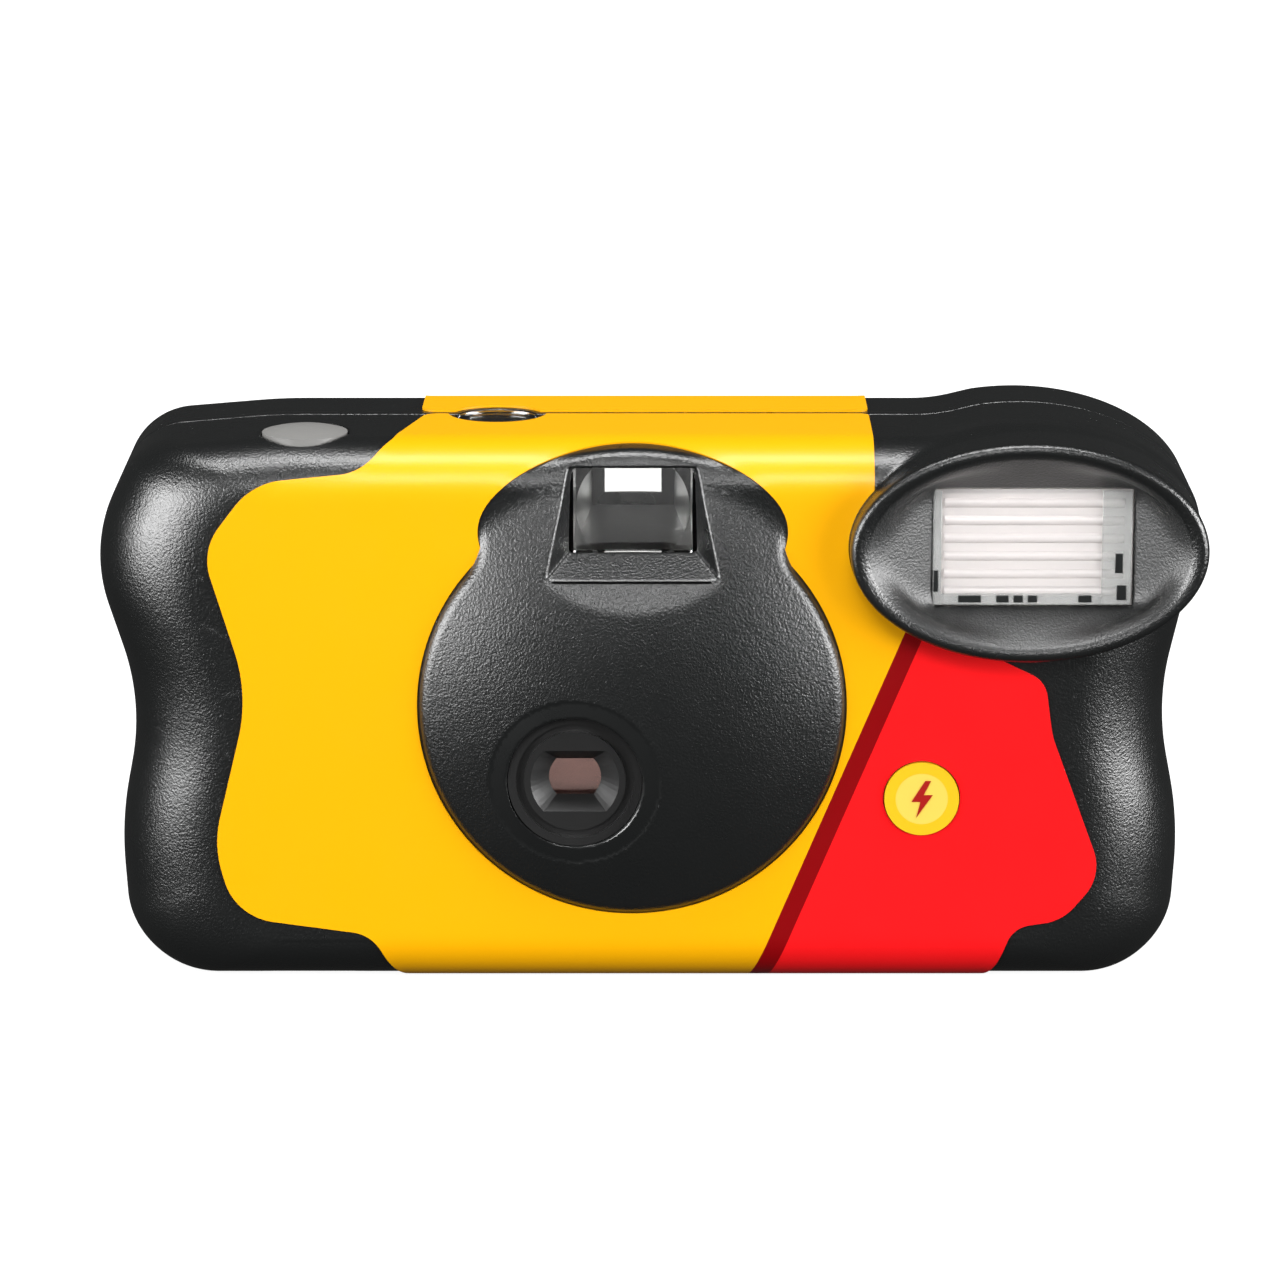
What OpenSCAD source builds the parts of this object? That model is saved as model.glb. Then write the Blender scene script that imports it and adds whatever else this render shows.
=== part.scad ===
/* [Body] */
// Width of the body across its shoulders
body_w = 117; // [112:0.5:126]
// Height of the flat top above the base
body_h = 58.5; // [57.5:0.5:62]
// Depth from the front face to the back face
body_d = 31; // [30.5:0.5:35]
// Thickness of the moulded covers
wall = 1.5; // [1.2:0.1:1.8]
// Depth of the front cover, from the front face back to the seam
front_d = 17.5; // [15:0.5:19]
// How far the grips roll in at the front
side_roll = 11.5; // [9:0.5:13]
// Depth over which the grips roll in
side_roll_d = 10.5; // [8:0.5:12]
// How far the top and base edges roll in at the front
edge_roll = 5; // [3:0.5:5.5]
// Depth over which the top and base edges roll in
edge_roll_d = 6; // [4:0.5:8]
// Radius of the edge round the back
back_roll = 5; // [3.5:0.5:6]
// Thickness of the paper labels
label_t = 0.25; // [0.15:0.05:0.4]

/* [Grips] */
// How far the bottom corners stand in from the shoulders
foot_in = 2.6; // [1:0.2:5]
// Rounding of the bottom corners
foot_r = 10.5; // [6:0.5:11]
// How far the lower swell stands in from the shoulders
swell_in = 1.6; // [1:0.2:4]
// Height of the lower swell
swell_z = 15.5; // [13:0.5:17]
// Rounding of the lower swell
swell_r = 36; // [20:1:40]
// How far the waist of the grip stands in from the shoulders
waist_in = 4.2; // [3:0.2:5]
// Height of the waist of the grip
waist_z = 28.8; // [27:0.2:30]
// Rounding of the waist
waist_r = 28; // [15:1:30]
// Height of the shoulder
shoulder_z = 45.6; // [44:0.2:47]

/* [Dome] */
// How far the lens dome stands out from the front face
dome_h = 4.5; // [3.5:0.5:6]
// Radius of the dome's curved face
dome_r = 70; // [60:1:90]
// Radius of the dome's round lower part
dome_disc_r = 22.5; // [20:0.5:23]
// Sideways place of the round lower part
dome_x = -1.9; // [-4:0.1:0]
// Height of the centre of the round lower part
dome_z = 30.6; // [29:0.1:31]
// Width of the dome's head
head_w = 32.2; // [30:0.2:34]
// Height of the dome's head
head_h = 17.2; // [16:0.2:18]
// Height of the centre of the head
head_z = 49.4; // [48.8:0.2:49.6]

/* [Viewfinder] */
// Width of the viewfinder window
finder_w = 12.5; // [11:0.5:13]
// Height of the viewfinder window
finder_h = 8.4; // [7.5:0.1:8.6]
// Height of the centre of the viewfinder
finder_z = 51.6; // [51.2:0.1:51.8]
// Width of the recess at its upper edge
recess_top_w = 16.2; // [15:0.2:17]
// Width of the recess at its lower edge
recess_low_w = 19.2; // [18:0.2:21]
// Height of the recess on the dome's face
recess_h = 12.1; // [11.5:0.1:12.3]

/* [Taking lens] */
// Sideways place of the lens axis
lens_x = -7.9; // [-9:0.1:-6]
// Height of the lens axis
lens_z = 23.2; // [23:0.1:23.6]
// Radius of the hole in the dome
lens_hole_r = 7.1; // [6.5:0.1:7.5]
// Radius of the lens
lens_r = 3.9; // [3.4:0.1:4.2]
// Width of the flat-sided opening in front of the lens
stop_w = 9.3; // [8:0.1:10]
// Height of the flat-sided opening in front of the lens
stop_h = 6.6; // [6:0.1:7.4]
// Radius of the fixed aperture
aperture_r = 1.6; // [1.2:0.1:1.9]

/* [Flash] */
// Width of the oval flash housing
flash_w = 38; // [37:0.2:39]
// Height of the oval flash housing
flash_h = 24; // [23:0.2:25]
// How far the flash housing rises above the flat top
flash_rise = 1.4; // [1:0.1:1.8]
// How far the rim of the flash stands out from the front face
flash_out = 4; // [3:0.5:4.4]
// Thickness of the rim
rim_t = 1.3; // [1.1:0.1:1.6]
// Width of the flash window
window_w = 20.8; // [19:0.2:21.4]
// Height of the flash window
window_h = 12.6; // [11.6:0.2:13]
// Depth of the bowl from its rim to the window
bowl_d = 5; // [4:0.5:6]

/* [Buttons] */
// Radius of the shutter button
shutter_r = 4.5; // [4:0.1:4.8]
// Sideways place of the shutter button
shutter_x = -36.4; // [-38:0.2:-35]
// Travel of the shutter button
shutter_travel = 1.2; // [0.8:0.1:1.3]
// Radius of the flash button
charge_r = 3.95; // [3.5:0.05:4.2]
// Sideways place of the flash button
charge_x = 28.7; // [27.5:0.1:30]
// Height of the flash button
charge_z = 20.7; // [20:0.1:22]
// Travel of the flash button
charge_travel = 0.8; // [0.5:0.1:0.9]
// Width of the frame counter window
counter_w = 8.9; // [8:0.1:9.4]
// Depth of the frame counter window
counter_d = 7.6; // [6.8:0.1:8]
// Sideways place of the frame counter window
counter_x = -16.3; // [-17:0.1:-15.5]

/* [Film] */
// Radius of the film cartridge
cartridge_r = 12.5; // [12.2:0.1:12.6]
// Height of the cartridge shell
cartridge_h = 43; // [42:0.2:43.4]
// Sideways place of the cartridge axis
cartridge_x = -36; // [-36.2:0.1:-35.8]
// Length of the slot that prises the film door out
pry_l = 9; // [6:0.5:12]
// Width of the slot in the film door
pry_w = 1.8; // [1.2:0.2:2.6]
// Depth of the slot in the film door
pry_d = 0.7; // [0.4:0.1:0.9]
// Width of the film
film_h = 35; // [34.8:0.1:35.2]
// Thickness of the film
film_t = 0.2; // [0.12:0.02:0.26]
// Width of one picture on the film
gate_w = 36; // [35.5:0.1:36.2]
// Height of one picture on the film
gate_h = 24; // [23.5:0.1:24.4]
// Radius of the full film roll
roll_r = 8.1; // [7.4:0.1:8.4]
// Radius of the thumbwheel
wheel_r = 14; // [13.6:0.1:14.1]
// Thickness of the thumbwheel
wheel_t = 4; // [3.6:0.1:4.1]

/* [Fits] */
// Clearance between a turning shaft and its bore
run_gap = 0.05; // [0.03:0.01:0.08]
// Clearance round a sliding button
slide_gap = 0.15; // [0.1:0.05:0.3]
// Clearance between pieces that only pass each other
free_gap = 0.4; // [0.3:0.05:0.5]

/* [Hidden] */
$fn = 48;
half_w = body_w / 2;
mid_z = body_h / 2;
// The front face lies where the box from the dome to the rear label is centred on the origin
front_y = (dome_h - body_d - label_t) / 2;
back_y = front_y + body_d;
seam_y = front_y + front_d;
in_front_y = front_y + wall;
in_back_y = back_y - wall;
in_top_z = body_h - wall;
// Facets of the lofted covers
arc_step = 14;
front_steps = 5;
back_steps = 4;
inner_steps = 3;
ellipse_steps = 40;
shoulder_out = 1.17;
top_fall = 1.2;
cut = 1;
// The labels end just above the base
label_low = 0.3;
black = "#1b1b1d";

// Flash housing, one hair inside the swell of the body behind it
swell_gap = 0.35;
flash_x = half_w - flash_w / 2;
flash_z = body_h + flash_rise - flash_h / 2;
flash_a = flash_w / 2 - swell_gap;
flash_b = flash_h / 2 - swell_gap;
window_x = flash_x + 0.7;
window_z = flash_z - 0.3;
window_y = front_y - flash_out + bowl_d;
bowl_t = 1.2;

// Viewfinder
head_x = dome_x + 0.1;
head_reach = 3.6;
finder_x = head_x;
finder_y = front_y + 2;
recess_low_z = 44.4;
recess_y = front_y - 3.2;
facet_y = front_y - 3.65;
facet_z = 41.5;
facet_tilt = 21.6;

// Buttons and counter window
shutter_y = front_y + 8;
counter_y = seam_y - 1;
counter_arc_r = (pow(counter_w, 2) + pow(counter_d, 2)) / (4 * counter_d);

// Cartridge, film and wheel
cartridge_room = 1;
cartridge_y = in_back_y - cartridge_room - cartridge_r;
cartridge_z = lens_z + 0.5 - cartridge_h / 2;
film_z = cartridge_z + (cartridge_h - film_h) / 2;
film_y = back_y - 4;
wheel_z = cartridge_z + cartridge_h + 2;
door_r = cartridge_r + 0.3;
door_gap = 0.2;
door_top_z = wall + 2.7;
scoop_d = 2.5;
scoop_r = 9;
scoop_half = 4;
scoop_y = back_y - scoop_d;
slot_half = sqrt(pow(wheel_r, 2) - pow(scoop_y - wall - cartridge_y, 2)) + 1;

// Rear eyepiece and ready light
eye_w = 9;
eye_h = 7;
ready_x = finder_x + 11;
ready_r = 1.6;

// Clearance of pieces pressed into their seats
seat_gap = 0.05;
rib_t = 1.2;

// Lens and its ring, from the dome's face inwards
lens_offset = norm([lens_x - dome_x, lens_z - dome_z]);
retainer_y = front_y - dome_h + dome_r - sqrt(pow(dome_r, 2) - pow(lens_offset + lens_hole_r, 2)) - 0.1;
lens_y = retainer_y + 2.3;
lens_t = 1.8;
lens_ledge = 0.6;
lens_curve_r = 9;
ledge_y = lens_y + lens_curve_r - sqrt(pow(lens_curve_r, 2) - pow(lens_r - lens_ledge, 2));
retainer_back_y = in_front_y + 0.1;
finder_rim = 0.6;
finder_lens_y = finder_y + 0.1;
finder_lens_t = 1.5;
finder_curve_r = 30;

// Shutter, in the gap between the lens ring and the lens board
blade_t = 0.3;
blade_y = retainer_back_y + 0.4;
board_plate_t = 1;
board_y = blade_y + blade_t + 0.35 + board_plate_t;
blade_x = lens_x - 7.2;
blade_z = lens_z + 8.2;
blade_pin_r = 1;
striker_x = lens_x + 11.9;
striker_z = lens_z + 13.8;
striker_t = 1.2;
striker_y = front_y - 0.1;
striker_pin_r = 1.2;
light_mouth_w = 8;
light_mouth_h = 6.4;

// Film path
gate_y = film_y - 0.35;
deck_z = cartridge_z + cartridge_h + 0.3;
deck_t = 1.2;
hub_r = 6;
sprocket_r = 6.05;
sprocket_t = 1.6;
sprocket_y = film_y - sprocket_r - 0.25;
sprocket_x = cartridge_x + sqrt(pow(cartridge_r + sprocket_r + free_gap, 2) - pow(sprocket_y - cartridge_y, 2));
sprocket_z = film_z + film_h - 4.2;
sprocket_pin_r = 1.5;
supply_x = half_w - 20.5;
supply_y = film_y - roll_r - 0.2;
supply_web_x = supply_x - roll_r - free_gap;
supply_floor_z = wall + 1.5;
supply_wall_z = film_z + film_h - 0.4;
supply_roof_z = film_z + film_h + 0.8;
journal_r = 2;
deck_right_x = finder_x + finder_w / 2 + 2.5;

// Frame counter and release
dial_r = 6.4;
dial_t = 0.8;
dial_z = in_top_z - 4;
dial_pin_r = 1.2;
dial_x = cartridge_x + wheel_r + 2;
dial_y = cartridge_y - 0.3;
lever_x = cartridge_x + wheel_r + 0.5;
lever_z = wheel_z + wheel_t + 2.1;
lever_y = shutter_y - 2.2;
lever_w = 3;
lever_t = 0.8;
lever_pin_r = 0.8;
lever_arm = lever_x - shutter_x;

// Flash circuit, in front of the supply chamber
battery_r = 7.1;
battery_l = 50.5;
battery_x = cartridge_x + cartridge_r + free_gap;
battery_y = in_front_y + 0.3 + battery_r;
battery_z = wall + free_gap + battery_r;
contact_room = 0.8;
board_t = 1.2;
board_y2 = supply_y - roll_r - free_gap - rib_t - 1.8;
board_y1 = board_y2 - board_t;
board_low_z = battery_z + battery_r + 1.3;
board_high_z = film_z + film_h - 0.6;
board_left_x = striker_x + 4;
board_right_x = supply_x + 4.5;
capacitor_r = 4;
capacitor_h = 26;
capacitor_x = supply_x + 9;
capacitor_y = supply_y - 10.7;
capacitor_z = 9;
reflector_front_y = window_y + bowl_t + 1;
reflector_back_y = supply_y - roll_r - 0.5;
tube_r = 1.6;
tube_y = reflector_back_y - 2.6;
blade_disc_r = 3;
blade_hub_r = 1.9;
striker_hub_r = 3;
button_flange_z = in_top_z - 1.3;
button_top_z = body_h + 0.7;
button_dome_r = 16;
charge_proud = 0.6;
charge_flange_y = in_front_y + cut + 0.2;
wheel_teeth = 56;
dial_teeth = 40;
spool_hub_r = 4.8;
cap_t = 1.2;
shell_t = 0.4;
lip_x = cartridge_x + 8.6;
supply_core_r = 3.5;
window_ribs = 6;
rib_pitch = 1.9;
sheet_t = 0.4;
lamp_y = board_y1;

function unit(v) = v / norm(v);
function turned(v, a) = [v.x * cos(a) - v.y * sin(a), v.x * sin(a) + v.y * cos(a)];
function flat(p) = [p.x, p.y];

// Points of the arc of radius b[2] that rounds corner b between corners a and c
function corner_arc(a, b, c) =
    let (u = unit(flat(a) - flat(b)), v = unit(flat(c) - flat(b)))
    let (turn = 180 - acos(u * v))
    let (room = 0.49 * min(norm(flat(a) - flat(b)), norm(flat(c) - flat(b))))
    let (r = turn < 0.01 ? 0 : min(b[2], room / tan(turn / 2)))
    let (n = max(1, ceil(turn / arc_step)))
    let (centre = flat(b) + unit(u + v) * r / cos(turn / 2))
    let (start = flat(b) + u * r * tan(turn / 2) - centre)
    let (way = sign(u.y * v.x - u.x * v.y))
    r == 0 ? [flat(b)] : [for (i = [0:n]) centre + turned(start, way * turn * i / n)];

// A closed outline from corners [across, up, rounding]
function rounded(corners) =
    let (n = len(corners))
    [for (i = [0:n - 1]) each corner_arc(corners[(i + n - 1) % n], corners[i], corners[(i + 1) % n])];

function ellipse_points(a, b, from = 0, to = 360, steps = ellipse_steps) =
    [for (i = [0:steps - (to - from == 360 ? 1 : 0)])
        let (t = from + (to - from) * i / steps) [a * cos(t), b * sin(t)]];

// Wavy side of the body, from the base up to the shoulder
function grip(side) = [
    [side * (half_w - foot_in), 0, foot_r],
    [side * (half_w - swell_in), swell_z, swell_r],
    [side * (half_w - waist_in), waist_z, waist_r]];

// Round end of the body that carries the flash, as corners without rounding
function flash_end() =
    [for (p = ellipse_points(flash_w / 2, flash_h / 2, -8, 104, 10)) [flash_x + p.x, flash_z + p.y, 0]];

function reversed(list) = [for (i = [len(list) - 1:-1:0]) list[i]];

// Outline of the body seen from the front, anticlockwise from the right foot
outline = rounded(concat(
    grip(1),
    flash_end(),
    [[flash_x - 8.9, body_h, 18],
     [-half_w + 18.5, body_h, 60],
     [-half_w + 4.2, body_h - top_fall, 7.5],
     [-half_w - shoulder_out, shoulder_z, 19]],
    reversed(grip(-1))));

function roll_in(s, depth, inset) =
    s >= depth ? 0 : inset * (1 - sqrt(1 - pow(1 - s / depth, 2)));

// The outline at depth y, drawn in by ix at each side and by iz at the top and the base
function ring(y, ix, iz) =
    [for (p = outline) [p.x * (1 - ix / half_w), y, mid_z + (p.y - mid_z) * (1 - iz / mid_z)]];

// Triangles that join ring i to ring i + 1 of n points each
function band(i, n) =
    [for (j = [0:n - 1], half = [0, 1])
        let (a = i * n + j, b = i * n + (j + 1) % n)
        half == 0 ? [a, b, b + n] : [a, b + n, a + n]];

// Triangles that close ring i of n points round the point numbered hub
function cap(i, n, hub, way) =
    [for (j = [0:n - 1])
        let (a = i * n + j, b = i * n + (j + 1) % n)
        way > 0 ? [hub, a, b] : [hub, b, a]];

// A closed solid over rings, with a flat cap at each end
module loft(rings) {
    n = len(rings[0]);
    last = len(rings) - 1;
    hubs = [[0, rings[0][0].y, mid_z], [0, rings[last][0].y, mid_z]];
    polyhedron(concat([for (r = rings) each r], hubs),
        concat(cap(0, n, n * (last + 1), -1),
            cap(last, n, n * (last + 1) + 1, 1),
            [for (i = [0:last - 1]) each band(i, n)]), 2);
}

// Rings of the front half of the body drawn in by inset all round, from the face back to depth end_y
function front_rings(inset, steps, end_y = seam_y) = concat(
    [for (i = [0:steps])
        let (s = (side_roll_d - inset) * (1 - cos(90 * i / steps)))
        ring(front_y + inset + s, inset + roll_in(s, side_roll_d - inset, side_roll - inset),
            inset + roll_in(s, edge_roll_d - inset, edge_roll - inset))],
    [ring(end_y, inset, inset)]);

// Rings of the back half, from depth start_y to the back face
function back_rings(inset, steps, start_y = seam_y) = concat(
    [ring(start_y, inset, inset)],
    [for (i = [steps:-1:0])
        let (r = back_roll - inset, s = r * (1 - cos(90 * i / steps)), d = inset + roll_in(s, r, r))
        ring(back_y - inset - s, d, d)]);

// Rings of the whole body, front to back
function body_rings(inset, front_n, back_n) =
    concat(front_rings(inset, front_n, seam_y - cut), back_rings(inset, back_n, seam_y + cut));

// A flat shape in the front view, carried from depth from_y back to depth to_y
module front_prism(from_y, to_y) {
    translate([0, to_y, 0])
        rotate([90, 0, 0])
            linear_extrude(to_y - from_y)
                children();
}

module front_bore(x, z, r, from_y, to_y) {
    translate([x, from_y, z])
        rotate([-90, 0, 0])
            cylinder(r = r, h = to_y - from_y);
}

module box(from, to) {
    translate(from)
        cube(to - from);
}

function left(d) = -half_w + d;
function right(d) = half_w - d;

// Die-cut outline of the front label
module front_label_shape() {
    polygon(rounded([
        [right(35.1), body_h + 3, 0], [flash_x - 16.1, flash_z + 2, 0],
        [flash_x - 15, flash_z - 2, 0], [flash_x - 6.5, flash_z - 10.3, 0],
        [right(16.9), 33.4, 3], [right(16.1), 27.5, 10], [right(10.5), 12.2, 5],
        [right(14.7), 7.2, 5], [right(19.9), 6.4, 3], [right(22.9), label_low, 0],
        [left(32.6), label_low, 0], [left(29), 5.6, 4], [left(14.5), 7.6, 7],
        [left(12.3), 15.5, 12], [left(16.3), 32, 18], [left(11.6), body_h - 11, 6],
        [left(17), body_h - 3.9, 7], [left(28.5), body_h - 2.9, 5], [left(33.1), body_h + 1, 3],
        [left(34.4), body_h + 3, 0]]));
}

// Die-cut outline of the rear label, which meets the front one along the seam
module rear_label_shape() {
    polygon(rounded([
        [right(35.1), body_h + 3, 0], [right(35.1), body_h - 12, 4], [right(12), body_h - 14, 8],
        [right(14), waist_z, 20], [right(11), 9, 8], [right(22.9), label_low, 0],
        [left(32.6), label_low, 0], [left(12), 8.5, 8], [left(15), waist_z, 20], [left(12.5), body_h - 16, 8],
        [left(34.4), body_h - 14, 6], [left(34.4), body_h + 3, 0]]));
}

module keyhole_disc(inset) {
    translate([dome_x, dome_z])
        circle(r = dome_disc_r - inset);
}

module keyhole_head(inset) {
    translate([head_x, head_z])
        polygon(ellipse_points(head_w / 2 - inset, head_h / 2 - inset));
}

module flash_oval(inset) {
    translate([flash_x, flash_z])
        polygon(ellipse_points(flash_a - inset, flash_b - inset));
}

module counter_lens(inset, from_z, to_z) {
    shift = counter_arc_r - counter_d / 2;
    intersection_for (side = [-1, 1])
        translate([counter_x, counter_y + side * shift, from_z])
            cylinder(r = counter_arc_r - inset, h = to_z - from_z);
}

// Room for the cartridge in the rolled corners of the base and under the scoop
module cartridge_relief() {
    upright(cartridge_x, cartridge_y, cartridge_r + 0.25, cartridge_z - 0.1, deck_z);
}

// Dome and flash, from the face back to where they join the front wall

module dome_ball(inset) {
    translate([dome_x, front_y - dome_h + dome_r, dome_z])
        sphere(r = dome_r - inset);
}

// The dome out to the walls drawn in by inset; only the top of the head reaches back into the rolled edge
module dome_solid(inset, disc_y, head_y) {
    intersection() {
        dome_ball(inset);
        union() {
            front_prism(front_y - 2 * dome_h, disc_y)
                union() {
                    keyhole_disc(inset);
                    keyhole_head(inset);
                }
            front_prism(front_y, head_y)
                intersection() {
                    keyhole_head(inset);
                    translate([-half_w, head_z])
                        square([body_w, head_h]);
                }
        }
    }
}

// Tapered recess of the viewfinder, grown by t on every side
module finder_recess(t, back) {
    low_z = recess_low_z - t;
    top_z = recess_low_z + recess_h + cut + t;
    low = recess_low_w / 2 + t;
    top = recess_top_w / 2 + t + 2;
    w = finder_w / 2 + t;
    h = finder_h / 2 + t;
    hull() {
        front_prism(recess_y - 0.02, recess_y)
            translate([finder_x, 0])
                polygon([[-low, low_z], [low, low_z], [top, top_z], [-top, top_z]]);
        front_prism(back - 0.02, back)
            translate([finder_x - w, finder_z - h])
                square([2 * w, 2 * h]);
    }
}

module flash_bowl(rim, t, front, back) {
    hull() {
        front_prism(front, front + 0.02)
            flash_oval(rim);
        front_prism(back - 0.02, back)
            translate([window_x - window_w / 2 - t, window_z - window_h / 2 - t])
                square([window_w + 2 * t, window_h + 2 * t]);
    }
}

// Oval wall of the flash; only its top and outer end reach back into the rolled edge
module flash_housing() {
    front_prism(front_y - flash_out, in_front_y)
        flash_oval(0);
    front_prism(front_y, front_y + 7)
        intersection() {
            flash_oval(0);
            union() {
                translate([flash_x - flash_w, flash_z])
                    square([2 * flash_w, flash_h]);
                translate([flash_x + 8, flash_z - flash_h])
                    square([flash_w, 2 * flash_h]);
            }
        }
}

module front_shell() {
    loft(concat(front_rings(0, front_steps), reversed(front_rings(wall, inner_steps))));
}

module front_cover() {
    color(black)
        difference() {
            union() {
                difference() {
                    union() {
                        front_shell();
                        dome_solid(0, in_front_y, front_y + head_reach);
                        flash_housing();
                    }
                    dome_solid(wall, in_front_y + cut, front_y + head_reach + cut);
                    front_prism(front_y - flash_out - cut, front_y + 7 + cut)
                        flash_oval(rim_t);
                }
                intersection() {
                    finder_recess(wall, finder_y);
                    dome_solid(0, in_front_y, front_y + head_reach);
                }
                flash_bowl(rim_t / 2, bowl_t, front_y - flash_out + 0.4, window_y + bowl_t);
                front_bore(lens_x, lens_z, lens_hole_r + wall, front_y - dome_h + 1.5, in_front_y);
                front_bore(charge_x, charge_z, charge_r + slide_gap + 1, in_front_y - cut, in_front_y + cut);
            }
            finder_recess(0, finder_y + 0.01);
            front_prism(front_y - cut, finder_y + cut)
                finder_frame(0);
            front_prism(finder_y + 0.01, front_y + head_reach + cut)
                finder_frame(rib_t + 0.1);
            translate([finder_x, facet_y, facet_z])
                rotate([-facet_tilt, 0, 0])
                    translate([-dome_disc_r, -dome_h, 0])
                        cube([2 * dome_disc_r, dome_h, recess_low_z - facet_z + 1]);
            flash_bowl(rim_t, 0, front_y - flash_out - 0.02, window_y);
            front_prism(window_y - cut, window_y + bowl_t + cut)
                translate([window_x - window_w / 2, window_z - window_h / 2])
                    square([window_w, window_h]);
            front_bore(lens_x, lens_z, lens_hole_r, front_y - 2 * dome_h, in_front_y + cut);
            front_bore(charge_x, charge_z, charge_r + slide_gap, front_y - cut, in_front_y + 2 * cut);
            translate([shutter_x, shutter_y, in_top_z - cut])
                cylinder(r = shutter_r + slide_gap, h = wall + 3 * cut);
            counter_lens(0, in_top_z - cut, body_h + cut);
            upright(cartridge_x, cartridge_y, door_r + door_gap, -cut, door_top_z + 0.3);
            cartridge_relief();
        }
}

module back_shell() {
    loft(concat(reversed(back_rings(wall, inner_steps)), back_rings(0, back_steps)));
}

// Thumb scoop across the back at the height of the wheel
module scoop(grow) {
    r = scoop_r + grow;
    translate([cartridge_x - scoop_half, scoop_y + scoop_r, wheel_z + wheel_t / 2]) {
        sphere(r = r);
        rotate([0, 90, 0])
            cylinder(r = r, h = 2 * scoop_half);
        translate([2 * scoop_half, 0, 0])
            sphere(r = r);
    }
}

module rear_cover() {
    color(black)
        difference() {
            union() {
                back_shell();
                intersection() {
                    scoop(wall);
                    box([cartridge_x - half_w, in_back_y - scoop_d, cartridge_z],
                        [cartridge_x + half_w, in_back_y + 0.1, in_top_z]);
                }
            }
            scoop(0);
            box([cartridge_x - slot_half, film_y - 2, wheel_z - free_gap],
                [cartridge_x + slot_half, back_y + cut, wheel_z + wheel_t + free_gap]);
            front_prism(in_back_y - cut, back_y + cut)
                translate([finder_x - eye_w / 2, finder_z - eye_h / 2])
                    square([eye_w, eye_h]);
            front_bore(ready_x, finder_z, ready_r + 0.1, in_back_y - cut, back_y + cut);
            counter_lens(0, in_top_z - cut, body_h + cut);
            upright(cartridge_x, cartridge_y, door_r + door_gap, -cut, door_top_z + 0.3);
            cartridge_relief();
        }
}

module front_label() {
    color("#f4b800")
        difference() {
            intersection() {
                loft(front_rings(-label_t, front_steps));
                front_prism(front_y - cut, seam_y + cut)
                    front_label_shape();
            }
            loft(front_rings(0, front_steps, seam_y + cut));
            front_prism(front_y - cut, front_y + 6)
                union() {
                    keyhole_disc(-0.05);
                    keyhole_head(-0.05);
                    flash_oval(-0.05);
                }
            front_bore(charge_x, charge_z, charge_r + slide_gap + 0.2, front_y - cut, in_front_y);
            counter_lens(-0.2, in_top_z - cut, body_h + cut);
        }
}

module rear_label() {
    color("#f4b800")
        difference() {
            intersection() {
                loft(back_rings(-label_t, back_steps));
                front_prism(seam_y - cut, back_y + cut)
                    rear_label_shape();
            }
            loft(back_rings(0, back_steps, seam_y - cut));
            scoop(0.4);
            front_prism(in_back_y - cut, back_y + cut)
                translate([finder_x - eye_w / 2 - 0.5, finder_z - eye_h / 2 - 0.5])
                    square([eye_w + 1, eye_h + 1]);
            front_bore(ready_x, finder_z, ready_r + 0.5, in_back_y - cut, back_y + cut);
            counter_lens(-0.2, in_top_z - cut, body_h + cut);
        }
}

// Optics

// Moulded ring round the lens, with a flat-sided tapering mouth
module lens_retainer() {
    color("#242426")
        difference() {
            front_bore(lens_x, lens_z, lens_hole_r - seat_gap, retainer_y, retainer_back_y);
            hull() {
                front_prism(retainer_y - 0.1, retainer_y)
                    lens_mouth(1);
                front_prism(lens_y - 0.1, lens_y)
                    lens_mouth(0.55);
            }
            front_bore(lens_x, lens_z, lens_r - lens_ledge, lens_y - 0.2, retainer_back_y);
            front_bore(lens_x, lens_z, lens_r + 0.02, ledge_y, retainer_back_y + cut);
            difference() {
                front_bore(lens_x, lens_z, lens_hole_r - 0.9, retainer_y - cut, retainer_y + 0.5);
                front_bore(lens_x, lens_z, stop_w / 2 + 0.7, retainer_y - 2 * cut, retainer_y + cut);
            }
        }
}

// The mouth in the front view: a circle cut flat above and below
module lens_mouth(share) {
    translate([lens_x, lens_z])
        intersection() {
            circle(r = share * stop_w / 2);
            square([stop_w, share * stop_h], center = true);
        }
}

// Meniscus lens, seated against the ledge of its retainer
module taking_lens() {
    color("lightsteelblue")
        intersection() {
            front_bore(lens_x, lens_z, lens_r, lens_y, lens_y + lens_t);
            translate([lens_x, lens_y + lens_curve_r, lens_z])
                sphere(r = lens_curve_r);
        }
}

module viewfinder_front_lens() {
    color("lightcyan")
        difference() {
            front_prism(finder_lens_y, finder_lens_y + finder_lens_t)
                finder_frame(finder_rim);
            translate([finder_x, finder_lens_y - finder_curve_r + 0.6, finder_z])
                sphere(r = finder_curve_r, $fn = 180);
        }
}

module viewfinder_eyepiece() {
    color("lightcyan")
        intersection() {
            front_prism(in_back_y - 0.8, back_y - 0.2)
                translate([finder_x, finder_z])
                    square([eye_w - 0.2, eye_h - 0.2], center = true);
            translate([finder_x, back_y - 0.2 - finder_curve_r, finder_z])
                sphere(r = finder_curve_r, $fn = 180);
        }
}

module finder_frame(grow) {
    translate([finder_x, finder_z])
        square([finder_w + 2 * grow, finder_h + 2 * grow], center = true);
}

// Main frame

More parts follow.
